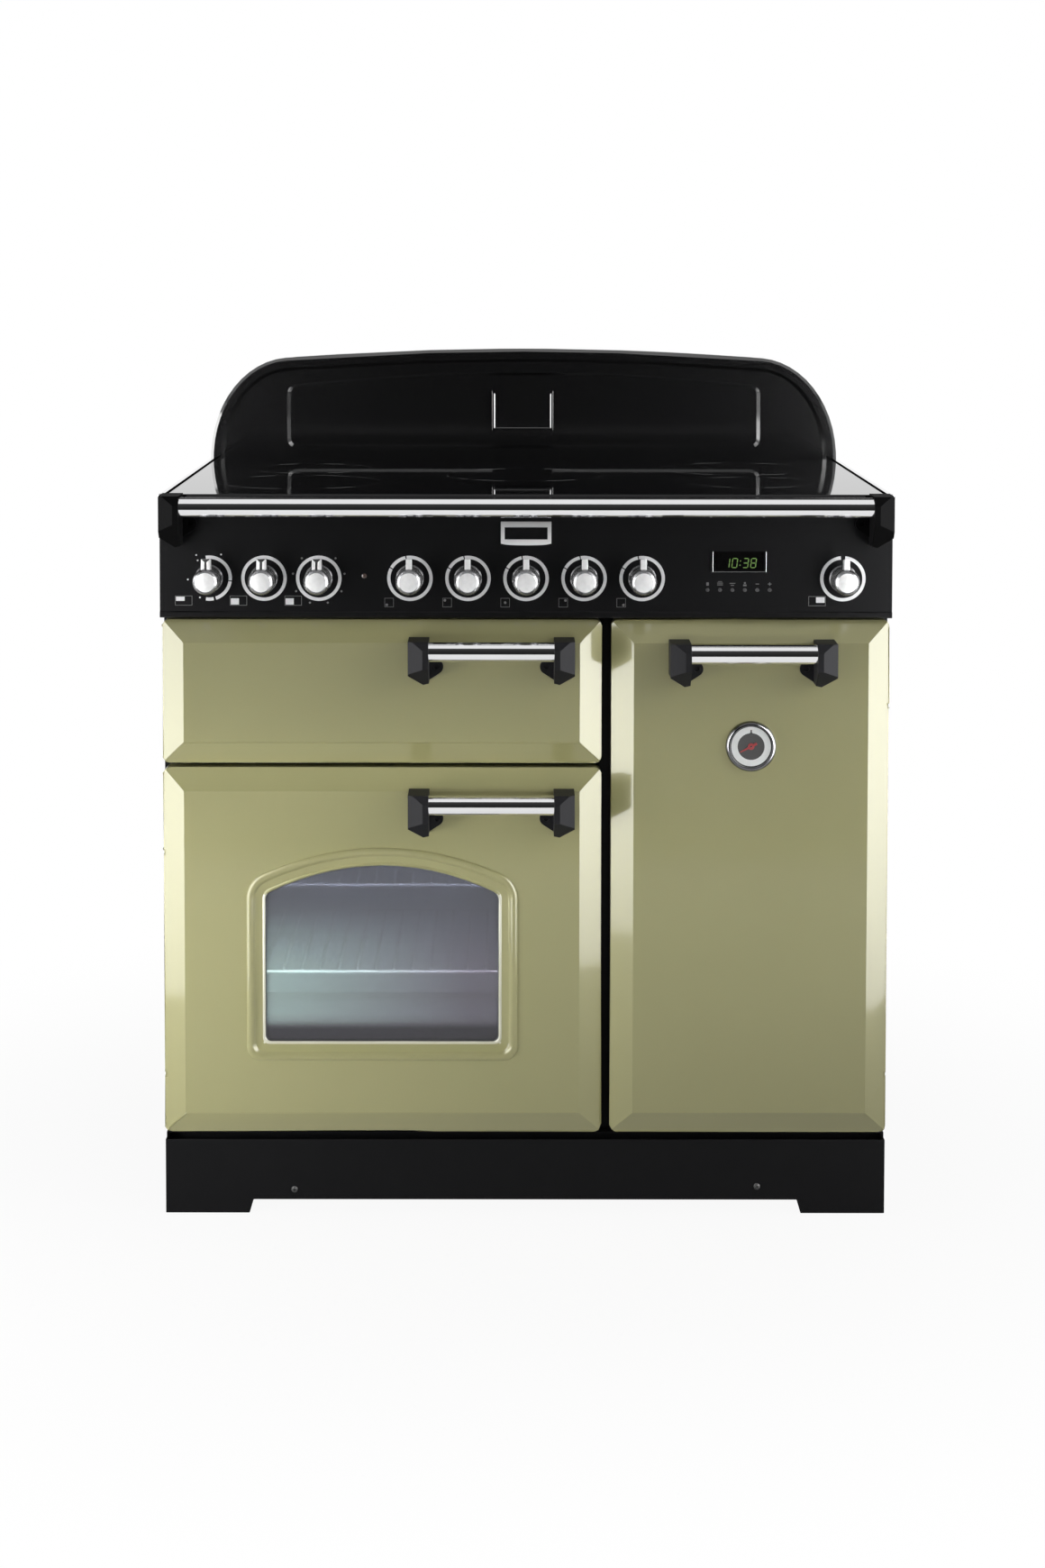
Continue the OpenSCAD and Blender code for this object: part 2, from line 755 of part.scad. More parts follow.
module door_outline(x0, z0, w, h, inset) {
    translate([x0 + inset, z0 + inset]) rounded(w - 2 * inset, h - 2 * inset, door_r - inset / 2, $fn = 32);
}

// Solid with a flat field, a bevel all round and straight sides, with every surface moved in by inset
module bevelled(x0, z0, w, h, inset, depth) {
    far = door_t + 6;
    lead = -4;
    intersection() {
        translate([x0 + w / 2, back(body_depth), z0 - 1]) linear_extrude(h + 2) polygon([
            [-bevel_half(w, inset, inset), inset], [bevel_half(w, inset, inset), inset],
            [bevel_half(w, inset, far), far], [-bevel_half(w, inset, far), far]]);
        translate([x0 + w / 2, back(body_depth), z0 + h / 2]) rotate([0, -90, 0])
            linear_extrude(w + 2, center = true) polygon([
                [-bevel_half(h, inset, lead), lead], [bevel_half(h, inset, lead), lead],
                [bevel_half(h, inset, far), far], [-bevel_half(h, inset, far), far]]);
        forward(body_depth - depth, depth + 2) door_outline(x0, z0, w, h, inset);
    }
}

// Pressed outer panel of a door, open at the back
module door_skin(x0, z0, w, h) {
    difference() {
        bevelled(x0, z0, w, h, 0, skin_depth);
        bevelled(x0, z0, w, h, sheet, skin_depth + 1);
    }
}

// Inner panel of a door: a rim inside the outer panel and a raised tray that faces the oven
module door_liner(x0, z0, w, h) {
    gap = sheet + 0.2;
    forward(body_depth - skin_depth, sheet) difference() {
        door_outline(x0, z0, w, h, gap);
        door_outline(x0, z0, w, h, gap + liner_step + sheet);
    }
    difference() {
        forward(body_depth - door_t, door_t - skin_depth + sheet)
            door_outline(x0, z0, w, h, gap + liner_step);
        forward(body_depth - door_t + sheet, door_t)
            door_outline(x0, z0, w, h, gap + liner_step + sheet);
    }
}

// Block with a bore for a hinge pin, on the liner above and below a side leaf
module side_hinge_block(x, z, outward) {
    far = x + outward * (hinge_in - sheet - 0.4);
    near = x - outward * 12;
    half = leaf_t / 2 + pin_reach + 3;
    block(min(far, near), max(far, near), body_depth - skin_depth + 0.2, body_depth - hinge_e + 7,
        z - half, z + half);
}

module side_hinge_cuts(x, z, outward) {
    half = leaf_t / 2 + pin_reach + 1;
    side_notch(x, z, outward);
    post(x, body_depth - hinge_e, z - half, z + half, pin_r + run_clear);
}

module grill_hinge_block(x) {
    half = leaf_t / 2 + pin_reach + 3;
    block(x - half, x + half, body_depth - skin_depth + 0.2, body_depth - grill_hinge_e + 5,
        grill_hinge_z - 8, grill_hinge_z + 12);
}

module grill_door() {
    color(green) difference() {
        door_skin(left_x0, grill_z, left_w, grill_door_h);
        for (x = grill_hinge_x) grill_notch(x);
    }
}

module grill_door_liner() {
    color(steel) difference() {
        union() {
            door_liner(left_x0, grill_z, left_w, grill_door_h);
            for (x = grill_hinge_x) grill_hinge_block(x);
        }
        for (x = grill_hinge_x) {
            grill_notch(x);
            rod(x - leaf_t / 2 - pin_reach - 1, x + leaf_t / 2 + pin_reach + 1, body_depth - grill_hinge_e,
                grill_hinge_z, pin_r + run_clear);
        }
    }
}

// Outline of the arched window, grown outwards by grow
module window_outline(grow, r) {
    spring = window_z + window_side_h;
    offset(r = r + grow, $fn = 32) offset(delta = -r) translate([left_mid, 0]) polygon(concat(
        [[-window_w / 2, window_z], [window_w / 2, window_z]],
        arc(0, spring + window_rise - arch_r, arch_r, arch_r, 90 - arch_a, 90 + arch_a, 16)));
}

// Solid between one window outline at depth e0 behind the door's face and another at depth e1
module window_loft(e0, grow0, e1, grow1, r) {
    hull() {
        forward(body_depth - e0 - 0.02, 0.02) window_outline(grow0, r);
        forward(body_depth - e1, 0.02) window_outline(grow1, r);
    }
}

module oven_door() {
    funnel = moulding_w - bead_w;
    color(green) difference() {
        union() {
            door_skin(left_x0, oven_z, left_w, oven_door_h);
            difference() {
                window_loft(-bead_h, moulding_w - 3, sheet, moulding_w, 8);
                window_loft(-bead_h - 1, moulding_w - bead_w + 3, sheet + 1, moulding_w - bead_w, 8);
            }
            window_loft(0.2, funnel + sheet, moulding_d, sheet + 2, 8);
        }
        window_loft(-1, funnel, moulding_d + 1, 0, 8);
        for (z = oven_hinge_z) side_notch(oven_hinge_x, z, -1);
    }
}

module oven_door_liner() {
    color(steel) difference() {
        union() {
            door_liner(left_x0, oven_z, left_w, oven_door_h);
            for (z = oven_hinge_z) side_hinge_block(oven_hinge_x, z, -1);
        }
        forward(body_depth - door_t - 1, door_t) window_outline(4, 8);
        for (z = oven_hinge_z) side_hinge_cuts(oven_hinge_x, z, -1);
    }
}

module oven_door_glass() {
    color([0.35, 0.4, 0.38]) {
        forward(body_depth - moulding_d - pane_t, pane_t) window_outline(pane_lap, 8);
        forward(body_depth - door_t + sheet, pane_t) window_outline(pane_lap, 8);
    }
}

module tall_door() {
    color(green) difference() {
        door_skin(tall_x0, oven_z, tall_door_w, tall_door_h);
        for (z = tall_hinge_z) side_notch(tall_hinge_x, z, 1);
        peg(tall_mid, gauge_z, body_depth - 4 * sheet, body_depth + 1, gauge_body_r + fit);
    }
}

module tall_door_liner() {
    color(steel) difference() {
        union() {
            door_liner(tall_x0, oven_z, tall_door_w, tall_door_h);
            for (z = tall_hinge_z) side_hinge_block(tall_hinge_x, z, 1);
        }
        peg(tall_mid, gauge_z, body_depth - door_t - 1, body_depth - door_t + 3 * sheet, stem_r + fit);
        for (z = tall_hinge_z) side_hinge_cuts(tall_hinge_x, z, 1);
    }
}

module thermometer() {
    color(chrome) turned(tall_mid, gauge_z, body_depth - gauge_depth, [[0, 0], [gauge_body_r, 0],
        [gauge_body_r, gauge_depth], [gauge_r, gauge_depth], [gauge_r, gauge_depth + 4],
        [gauge_r - 3, gauge_depth + 8], [gauge_r - 5, gauge_depth + 8], [gauge_r - 6, gauge_depth + 3],
        [spindle_r - run_clear, gauge_depth + 3], [spindle_r - run_clear, gauge_depth + 5],
        [0, gauge_depth + 5]]);
    color(chrome) peg(tall_mid, gauge_z, body_depth - door_t - 3, body_depth - gauge_depth, stem_r);
}

module thermometer_needle() {
    d0 = body_depth + 3 + fit;
    color("red") difference() {
        union() {
            peg(tall_mid, gauge_z, d0, d0 + 1.2, 4);
            forward(d0, 0.8) translate([tall_mid, gauge_z]) rotate(needle_rest)
                polygon([[-1.6, -8], [1.6, -8], [0.6, needle_l], [-0.6, needle_l]]);
        }
        peg(tall_mid, gauge_z, d0 - 1, d0 + 2, spindle_r);
    }
}

/* Handles and handrail */

module handle_bar(mid, z) {
    half = handle_l / 2 - bracket_w + socket - fit;
    color(chrome) rod(mid - half, mid + half, body_depth + bar_out, z, bar_d / 2);
}

// Faceted bracket for the right end of a bar at height z, on a face at depth d: a narrow front
// panel, an outer panel and a top facet that fall back, a pointed lower end, and a screwed lobe
module bracket(x0, d, z, bar, r, reach, rise, fall, facet) {
    x1 = x0 + bracket_w;
    top = z + rise;
    low = z - fall;
    difference() {
        union() {
            intersection() {
                across(d, x0, x1) polygon([[0, low], [0, top], [reach - facet_slope * facet, top],
                    [reach, top - facet], [reach, z - bracket_skirt], [reach / 2, low]]);
                forward(d, reach) polygon([[x0, low + 2], [x0 + bracket_flat, low],
                    [x1, low + 13], [x1, top], [x0, top]]);
                translate([0, back(d), low - 1]) linear_extrude(rise + fall + 2) polygon([[x0, 0],
                    [x0, -reach], [x0 + bracket_flat, -reach],
                    [x1, outer_slope * (bracket_w - bracket_flat) - reach], [x1, 0]]);
            }
            forward(d, lobe_t) hull() {
                translate([x0 - 8, z - 23]) circle(r = lobe_r, $fn = 32);
                translate([x0 + 4, z - 32]) circle(r = lobe_r - 1, $fn = 32);
            }
        }
        rod(x0 - 1, x0 + socket, d + bar, z, r + socket_clear);
        peg(x0 - 9, z - 23, d + lobe_t - 3, d + lobe_t + 1, screw_r);
    }
}

module handle_brackets(mid, z) {
    color(black) translate([mid, 0, 0]) for (s = [0, 1]) mirror([s, 0, 0])
        bracket(handle_l / 2 - bracket_w, body_depth, z, bar_out, bar_d / 2, handle_reach,
            bracket_rise, bracket_fall, facet_h);
}

module grill_handle_bar() handle_bar(left_handle_mid, grill_bar_z);
module grill_handle_brackets() handle_brackets(left_handle_mid, grill_bar_z);
module oven_handle_bar() handle_bar(left_handle_mid, oven_bar_z);
module oven_handle_brackets() handle_brackets(left_handle_mid, oven_bar_z);
module tall_handle_bar() handle_bar(tall_mid, tall_bar_z);
module tall_handle_brackets() handle_brackets(tall_mid, tall_bar_z);

module handrail_bar() {
    half = rail_half + socket - fit;
    color(chrome) rod(-half, half, panel_face + rail_reach, rail_z, rail_d / 2);
}

module handrail_brackets() {
    rise = rail_drop + rail_bracket_rise;
    color(black) for (s = [0, 1]) mirror([s, 0, 0])
        bracket(rail_half, panel_face, rail_z, rail_reach, rail_d / 2, rail_d_out,
            rise, rail_bracket_h - rise, rail_facet_h);
}

/* Hob */

module hob_tray() {
    x1 = width / 2 - trim_w - fit;
    color(steel) difference() {
        union() {
            block(-x1, x1, 3, panel_face - 2, tray_z, glass_z);
            block(-x1 + tray_in, x1 - tray_in, tray_back, tray_front, glass_z - tray_d, tray_z + 0.1);
        }
        block(-x1 + tray_in + sheet, x1 - tray_in - sheet, tray_back + sheet, tray_front - sheet,
            glass_z - tray_d + sheet, glass_z + 1);
    }
}

// Each heater is a flat carrier with the wound coil on top, open round the sensor in its middle
module heating_coils() {
    floor_z = glass_z - tray_d + sheet;
    hole = 15;
    plate_t = 3;
    coil_top = 9;
    color([0.45, 0.28, 0.16]) for (c = coils) translate([c[0], back(c[1]), floor_z]) rotate_extrude()
        polygon([[hole, 0], [c[2] / 2, 0], [c[2] / 2, plate_t], [c[2] / 2 - 6, plate_t],
            [c[2] / 2 - 6, coil_top], [hole + 9, coil_top], [hole + 9, plate_t], [hole, plate_t]]);
}

module hob_glass() {
    x1 = width / 2 - trim_w - fit;
    color(black) block(-x1, x1, splash_face + 1, panel_face - fit, glass_z, hob_z - 0.5);
}

module hob_trims() {
    x1 = width / 2;
    lip = side_inset - 0.2;
    skirt = 7;
    color(chrome) for (s = [0, 1]) mirror([s, 0, 0])
        forward(splash_face + 1, panel_face - fit - splash_face - 1) polygon([[x1 - trim_w, tray_z],
            [x1 - lip, tray_z], [x1 - lip, tray_z - skirt], [x1, tray_z - skirt], [x1, hob_z - 2.5],
            [x1 - 0.8, hob_z - 0.8], [x1 - 2.5, hob_z], [x1 - trim_w + 1, hob_z],
            [x1 - trim_w, hob_z - 1]]);
}

/* Control panel */

module control_panel() {
    x1 = side_x;
    color(black) difference() {
        union() {
            block(-x1, x1, frame_face, panel_face, panel_z, tray_z);
            across(panel_face, -x1, x1) translate([0, panel_z]) polygon([[-1, 0], [0.5, 0],
                [lip_out, 1.5], [lip_out, lip_h - 1.5], [0, lip_h], [-1, lip_h]]);
        }
        block(-x1 + sheet, x1 - sheet, frame_face - 1, panel_face - 2, panel_z + sheet, tray_z - sheet);
        for (x = knob_x) peg(x, knob_height, panel_face - 3, panel_face + 1, shaft_d / 2 + 1);
        forward(panel_face - 3, 4) translate([clock_x - clock_w / 2 + 2, clock_z - clock_h / 2 + 2])
            square([clock_w - 4, clock_h - 4]);
        for (i = [-2.5:2.5]) peg(clock_x + i * button_pitch, button_z, panel_face - 3, panel_face + 1,
            button_d / 2 + run_clear);
        peg(lamp_x, lamp_z, panel_face - 3, panel_face + 1, lamp_d / 2 + run_clear);
    }
}

module control_switches() {
    d1 = panel_face - 2;
    color([0.8, 0.78, 0.7]) for (x = knob_x) difference() {
        peg(x, knob_height, d1 - switch_l, d1, switch_d / 2);
        peg(x, knob_height, d1 - shaft_in - 1, d1 + 1, shaft_d / 2 + run_clear);
    }
}

// Chrome knob with a waisted hub, a domed end and a pointer, on its shaft
module knob(x, pointer_w) {
    r = knob_d / 2;
    d0 = panel_face + 1;
    color(chrome) union() {
        difference() {
            union() {
                turned(x, knob_height, d0, concat([[0, 0], [r + 1, 0], [r + 1, 3], [r - 1, 6],
                    [r - 1, knob_l - 18], [r, knob_l - 12], [r, knob_l - 9]],
                    [for (i = [1:6]) let (a = i * 15) [r * cos(a), knob_l - 9 + 8 * sin(a)]]));
                across(d0, x - pointer_w / 2, x + pointer_w / 2)
                    translate([0, knob_height]) polygon([[knob_l - 28, 4], [knob_l - 5, 4],
                        [knob_l - 6, pointer_reach - 3], [knob_l - 9, pointer_reach],
                        [knob_l - 20, pointer_reach - 2]]);
            }
            peg(x, knob_height, d0 - 1, d0 + knob_l - 22, shaft_d / 2 + 0.2);
        }
        peg(x, knob_height, d0 + knob_l - 24, d0 + knob_l - 20, shaft_d / 2 + 1);
        peg(x, knob_height, panel_face - 2 - shaft_in, d0 + knob_l - 22, shaft_d / 2);
    }
}

module clock_display() {
    body_front = panel_face - 2 - board_gap;
    half_w = clock_w / 2;
    half_h = clock_h / 2;
    neck = 2.2;
    board_half = 46;
    color(black) union() {
        forward(panel_face, 2) translate([clock_x - half_w, clock_z - half_h]) square([clock_w, clock_h]);
        block(clock_x - half_w + neck, clock_x + half_w - neck, body_front - 1, panel_face + 1,
            clock_z - half_h + neck, clock_z + half_h - neck);
        block(clock_x - board_half, clock_x + board_half, body_front - 20, body_front,
            button_z - 8, clock_z + half_h + 4);
    }
}

module clock_button(i) {
    x = clock_x + (i - 3.5) * button_pitch;
    skin = panel_face - 2;
    color([0.15, 0.15, 0.15]) union() {
        peg(x, button_z, skin - 1.5, panel_face + 1.5, button_d / 2);
        peg(x, button_z, skin - 1.5, skin, button_d / 2 + 1.5);
        peg(x, button_z, skin - board_gap + button_travel + fit, skin - 1, 1.2);
    }
}

module indicator_lamp() {
    skin = panel_face - 2;
    color("orangered") turned(lamp_x, lamp_z, skin - 10, [[0, 0], [lamp_d / 2 + 2, 0], [lamp_d / 2 + 2, 10],
        [lamp_d / 2, 10], [lamp_d / 2, 12.5], [lamp_d / 2 - 1, 13.5], [0, 14]]);
}

/* Splashback */

// Outline of the splashback, every edge but the bottom moved in by inset
module back_outline(inset) {
    half = width / 2 - 3;
    inner = half - shoulder_w;
    crown = back_h - shoulder_h;
    top_r = (inner * inner + crown * crown) / (2 * crown);
    top_a = asin(inner / top_r);
    intersection() {
        offset(delta = -inset) polygon(concat([[half, glass_z - inset], [half, hob_z]],
            arc(inner, hob_z, shoulder_w, shoulder_h, 4, 86, 12),
            arc(0, hob_z + back_h - top_r, top_r, top_r, 90 - top_a, 90 + top_a, 20),
            arc(-inner, hob_z, shoulder_w, shoulder_h, 94, 176, 12),
            [[-half, hob_z], [-half, glass_z - inset]]));
        translate([-width, glass_z]) square([2 * width, 2 * back_h]);
    }
}

// Outline of the pressed panel, with an arched top
module pressed_outline(grow) {
    half = pressed_w / 2;
    low = hob_z + 19;
    side = hob_z + 100;
    rise = 19;
    r = (half * half + rise * rise) / (2 * rise);
    a = asin(half / r);
    offset(r = pressed_r + grow, $fn = 32) offset(delta = -pressed_r) polygon(concat(
        [[-half, low], [half, low]],
        arc(0, side + rise - r, r, r, 90 - a, 90 + a, 12)));
}

module back_loft(d0, inset0, d1, inset1) {
    hull() {
        forward(d0, 0.02) back_outline(inset0);
        forward(d1 - 0.02, 0.02) back_outline(inset1);
    }
}

module pressed_loft(d0, grow0, d1, grow1) {
    hull() {
        forward(d0, 0.02) pressed_outline(grow0);
        forward(d1 - 0.02, 0.02) pressed_outline(grow1);
    }
}

module splashback() {
    d0 = 3;
    color(black) difference() {
        union() {
            forward(d0, back_t - 4) back_outline(0);
            back_loft(splash_face - 4.02, 0, splash_face, 4);
        }
        back_loft(splash_field, roll_w + 1, splash_face + 0.5, roll_w - 4);
        difference() {
            forward(d0 - 1, splash_field - sheet - d0 + 1) back_outline(sheet);
            pressed_loft(splash_field - press_d - sheet, sheet, splash_field, press_d + sheet);
        }
        pressed_loft(splash_field - press_d, 0, splash_field + 0.5, press_d);
    }
}

base_frame();
side_panels();
rear_panel();
front_frame();
plinth();
levelling_feet();
terminal_box();
door_hinges();
door_seals();
grill_cavity();
grill_element();
grill_pan();
oven_cavity();
oven_fan_cover();
oven_fan();
oven_fan_motor();
oven_shelf_lower();
oven_shelf_upper();
tall_oven_cavity();
grill_door();
grill_door_liner();
grill_handle_bar();
grill_handle_brackets();
oven_door();
oven_door_liner();
oven_door_glass();
oven_handle_bar();
oven_handle_brackets();
tall_door();
tall_door_liner();
tall_handle_bar();
tall_handle_brackets();
thermometer();
thermometer_needle();
hob_tray();
heating_coils();
hob_glass();
hob_trims();
control_panel();
control_switches();
clock_display();
indicator_lamp();
handrail_bar();
handrail_brackets();
splashback();
for (i = [0:8])
    knob(knob_x[i], i < 3 ? oven_pointer_w : hob_pointer_w);
for (i = [0:5])
    clock_button(i + 1);
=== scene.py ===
import math

import bmesh
import bpy
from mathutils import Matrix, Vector


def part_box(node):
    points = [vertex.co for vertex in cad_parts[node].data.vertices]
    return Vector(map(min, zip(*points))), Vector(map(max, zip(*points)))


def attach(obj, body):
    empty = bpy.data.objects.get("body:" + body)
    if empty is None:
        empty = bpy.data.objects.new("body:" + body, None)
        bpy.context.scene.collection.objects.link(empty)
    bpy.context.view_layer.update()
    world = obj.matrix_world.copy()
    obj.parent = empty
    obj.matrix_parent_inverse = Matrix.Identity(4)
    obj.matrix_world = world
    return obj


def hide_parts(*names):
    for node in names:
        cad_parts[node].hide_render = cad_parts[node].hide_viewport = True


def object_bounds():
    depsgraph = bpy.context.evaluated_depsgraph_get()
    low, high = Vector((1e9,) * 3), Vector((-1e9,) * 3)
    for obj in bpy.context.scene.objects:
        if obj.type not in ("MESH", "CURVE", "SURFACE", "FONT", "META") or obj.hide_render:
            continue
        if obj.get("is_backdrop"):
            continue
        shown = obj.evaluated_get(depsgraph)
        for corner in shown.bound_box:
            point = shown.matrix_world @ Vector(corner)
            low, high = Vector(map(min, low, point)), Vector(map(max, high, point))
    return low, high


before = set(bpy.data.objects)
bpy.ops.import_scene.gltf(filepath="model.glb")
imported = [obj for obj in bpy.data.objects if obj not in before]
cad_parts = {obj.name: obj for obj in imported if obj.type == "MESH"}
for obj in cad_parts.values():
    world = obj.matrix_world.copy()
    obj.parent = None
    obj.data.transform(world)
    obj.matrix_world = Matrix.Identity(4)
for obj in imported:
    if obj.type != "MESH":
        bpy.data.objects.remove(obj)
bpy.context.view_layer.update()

# Floor and backdrop
# A white floor that runs into a white backdrop, as in a catalogue photograph.
# The floor keeps the cooker's soft shadow; neither belongs to the cooker.
floor_reach = 9.0
floor_grey = 0.62
near_white = 0.93
far_white = 1.0
shadow_reach = (0.35, 1.3)
fill_level = 0.27


class Wire:
    """A socket in shader maths. Each operator adds one Math node."""

    def __init__(self, finish, socket):
        self.finish = finish
        self.socket = socket

    def calc(self, operation, *values):
        return self.finish.node("ShaderNodeMath", {"operation": operation}, dict(enumerate(values)))

    def __add__(self, other):
        return self.calc("ADD", self, other)

    __radd__ = __add__

    def __mul__(self, other):
        return self.calc("MULTIPLY", self, other)

    __rmul__ = __mul__

    def __sub__(self, other):
        return self.calc("SUBTRACT", self, other)

    def __rsub__(self, other):
        return self.calc("SUBTRACT", other, self)

    def __gt__(self, level):
        return self.calc("GREATER_THAN", self, level)

    def __lt__(self, level):
        return self.calc("LESS_THAN", self, level)

    def largest(self, other):
        return self.calc("MAXIMUM", self, other)


class Finish:
    """The node tree of a material or of the world."""

    def __init__(self, owner):
        owner.use_nodes = True
        self.tree = owner.node_tree

    def plug(self, socket, value):
        if isinstance(value, Wire):
            self.tree.links.new(value.socket, socket)
        else:
            socket.default_value = value

    def node(self, kind, settings, sockets, output=0):
        made = self.tree.nodes.new(kind)
        for name, value in settings.items():
            setattr(made, name, value)
        for name, value in sockets.items():
            self.plug(made.inputs[name], value)
        return Wire(self, made.outputs[output])

    def mix(self, factor, first, second):
        sockets = {0: factor, 6: first, 7: second}
        return self.node("ShaderNodeMix", {"data_type": "RGBA"}, sockets, 2)

    def seen(self):
        """1 for what the camera, a reflection or clear glass shows, 0 for what only lights."""
        camera = self.node("ShaderNodeLightPath", {}, {}, "Is Camera Ray")
        glossy = self.node("ShaderNodeLightPath", {}, {}, "Is Glossy Ray")
        through = self.node("ShaderNodeLightPath", {}, {}, "Is Transmission Ray")
        return camera.largest(glossy).largest(through)


class Surface(Finish):
    """A material on the Principled shader. What is the same all over is set on the shader itself."""

    def __init__(self, name, fixed):
        self.material = bpy.data.materials.new(name)
        super().__init__(self.material)
        self.shader = self.tree.nodes["Principled BSDF"]
        for socket, value in fixed.items():
            self.shader.inputs[socket].default_value = value

    def place(self):
        return self.node("ShaderNodeTexCoord", {}, {}, "Object")

    def across(self, axis):
        """How far a point lies along X, Y or Z, in metres."""
        return self.node("ShaderNodeSeparateXYZ", {}, {"Vector": self.place()}, axis)

    def ease(self, value, start, end):
        """0 below the start, 1 above the end, and a smooth rise between."""
        sockets = {"Value": value, "From Min": start, "From Max": end}
        return self.node("ShaderNodeMapRange", {"interpolation_type": "SMOOTHSTEP"}, sockets)

    def noise(self, scale, detail):
        return self.node("ShaderNodeTexNoise", {}, {"Vector": self.place(), "Scale": scale, "Detail": detail})

    def drive(self, socket, value):
        self.plug(self.shader.inputs[socket], value)

    def mottle(self, scale, detail, first, second, socket="Base Color"):
        """A colour that wanders between two shades."""
        self.drive(socket, self.mix(self.noise(scale, detail), (*first, 1), (*second, 1)))

    def bump(self, height, distance):
        settings = {"Height": height, "Distance": distance, "Strength": 1.0}
        self.drive("Normal", self.node("ShaderNodeBump", {}, settings))


def deselect():
    for other in bpy.context.selected_objects:
        other.select_set(False)


def settle(name):
    """Names the new primitive and puts its place in its mesh."""
    bpy.ops.object.transform_apply(location=True, rotation=True, scale=True)
    bpy.context.object.name = name
    return bpy.context.object


scene = bpy.context.scene
scene.view_settings.view_transform = "Standard"
deselect()
bpy.ops.mesh.primitive_grid_add(x_subdivisions=8, y_subdivisions=8, size=2 * floor_reach)
floor = settle("studio_floor")
floor_finish = Surface("floor_white", {"Roughness": 0.9, "Specular IOR Level": 0.0})
grey = floor_finish.noise(2.0, 2.0) * 0.01 + floor_grey
floor_finish.drive("Base Color", floor_finish.node("ShaderNodeCombineColor", {}, {0: grey, 1: grey, 2: grey}))
glow = floor_finish.node("ShaderNodeEmission", {}, {"Color": (1, 1, 1, 1), "Strength": 1.0})
plain = Wire(floor_finish, floor_finish.shader.outputs[0])
away = floor_finish.node("ShaderNodeVectorMath", {"operation": "LENGTH"}, {0: floor_finish.place()}, "Value")
whiter = floor_finish.ease(away, *shadow_reach) * (far_white - near_white) + near_white
shown = floor_finish.node("ShaderNodeMixShader", {}, {0: floor_finish.seen() * whiter, 1: plain, 2: glow})
floor_finish.plug(floor_finish.tree.nodes["Material Output"].inputs["Surface"], shown)
floor.data.materials.append(floor_finish.material)
floor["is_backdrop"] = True

scene.world = bpy.data.worlds.new("backdrop")
sky = Finish(scene.world)
fill = (fill_level, fill_level, fill_level, 1)
sky.plug(sky.tree.nodes["Background"].inputs["Color"], sky.mix(sky.seen(), fill, (1, 1, 1, 1)))

# Studio lights and camera
# Tall soft boxes stand at both sides, a small low one at the left and a strip in front. Cards that
# only reflections show stand beside, before and above the cooker. They give chrome, glass and enamel
# their light and dark bands. The camera stands before the cooker, a little higher than its hob.
box_size = (1.5, 2.1)


def aim(place, target):
    return (Vector(target) - Vector(place)).to_track_quat("-Z", "Y").to_euler()


def soft_box(name, place, target, size, power, spread=180):
    lamp = bpy.data.lights.new(name, "AREA")
    lamp.shape = "RECTANGLE"
    lamp.size, lamp.size_y = size
    lamp.energy = power
    lamp.spread = math.radians(spread)
    stand = bpy.data.objects.new(name, lamp)
    scene.collection.objects.link(stand)
    stand.location = place
    stand.rotation_euler = aim(place, target)
    stand.visible_camera = False
    stand.visible_glossy = False


soft_box("left_box", (-2.55, -1.55, 0.80), (-0.3, -0.2, 0.45), box_size, 4)
soft_box("right_box", (2.55, -1.55, 1.95), (0.3, -0.2, 1.0), box_size, 34)
soft_box("front_strip", (-0.1, -2.3, 0.50), (-0.1, 0, 0.50), (1.6, 0.2), 0.7, 24)
soft_box("low_box", (-1.05, -0.95, 0.28), (-0.38, -0.27, 0.25), (0.4, 0.3), 2.2, 90)


def card(name, place, target, size, low_shade, high_shade, fade):
    """A card that only reflections show, shaded upwards from one grey to another between two heights."""
    deselect()
    bpy.ops.mesh.primitive_grid_add(
        x_subdivisions=2, y_subdivisions=2, size=1, location=place, rotation=aim(place, target)
    )
    bpy.context.object.scale = (*size, 1)
    board = settle(name)
    bright = Surface(name, {
        "Base Color": (0, 0, 0, 1), "Roughness": 1.0, "Specular IOR Level": 0.0, "Emission Strength": 1.0,
    })
    low_grey, high_grey = (low_shade,) * 3 + (1,), (high_shade,) * 3 + (1,)
    bright.drive("Emission Color", bright.mix(bright.ease(bright.across("Z"), *fade), low_grey, high_grey))
    board.data.materials.append(bright.material)
    for ray in ("visible_camera", "visible_diffuse", "visible_transmission", "visible_shadow"):
        setattr(board, ray, False)
    board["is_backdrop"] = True


card("left_card", (-1.2, -0.9, 0.75), (-0.3, -0.2, 0.75), (1.2, 1.5), 4.5, 13.0, (-0.30, 0.40))
card("right_card", (1.15, -0.85, 0.75), (0.3, -0.2, 0.75), (1.2, 1.7), 3.5, 16.0, (-0.40, 0.50))
card("rim_card", (-2.4, 0.35, 1.1), (0, 0.3, 1.0), (0.9, 0.9), 6.0, 7.0, (0.0, 1.0))
card("floor_card", (0, -5.6, 0.03), (0, -5.6, 2), (6.0, 6.9), 0.02, 0.10, (0.0, 1.0))
card("front_card", (0, -5.0, 3.0), (0, 0, 3.0), (9.0, 6.0), 0.02, 0.06, (0.0, 6.0))
card("ceiling_card", (0, 3.7, 2.7), (0, 3.7, 0), (9.0, 6.3), 0.03, 0.04, (2.0, 3.0))

camera_data = bpy.data.cameras.new("camera")
camera_data.lens = 63.507
camera_data.shift_x = 0.0088
camera_data.shift_y = -0.2394
camera = bpy.data.objects.new("camera", camera_data)
scene.collection.objects.link(camera)
camera.location = (-0.0216, -3.6346, 1.1955)
camera.rotation_euler = (math.radians(90 - 3.267), math.radians(-0.059), 0)
scene.camera = camera

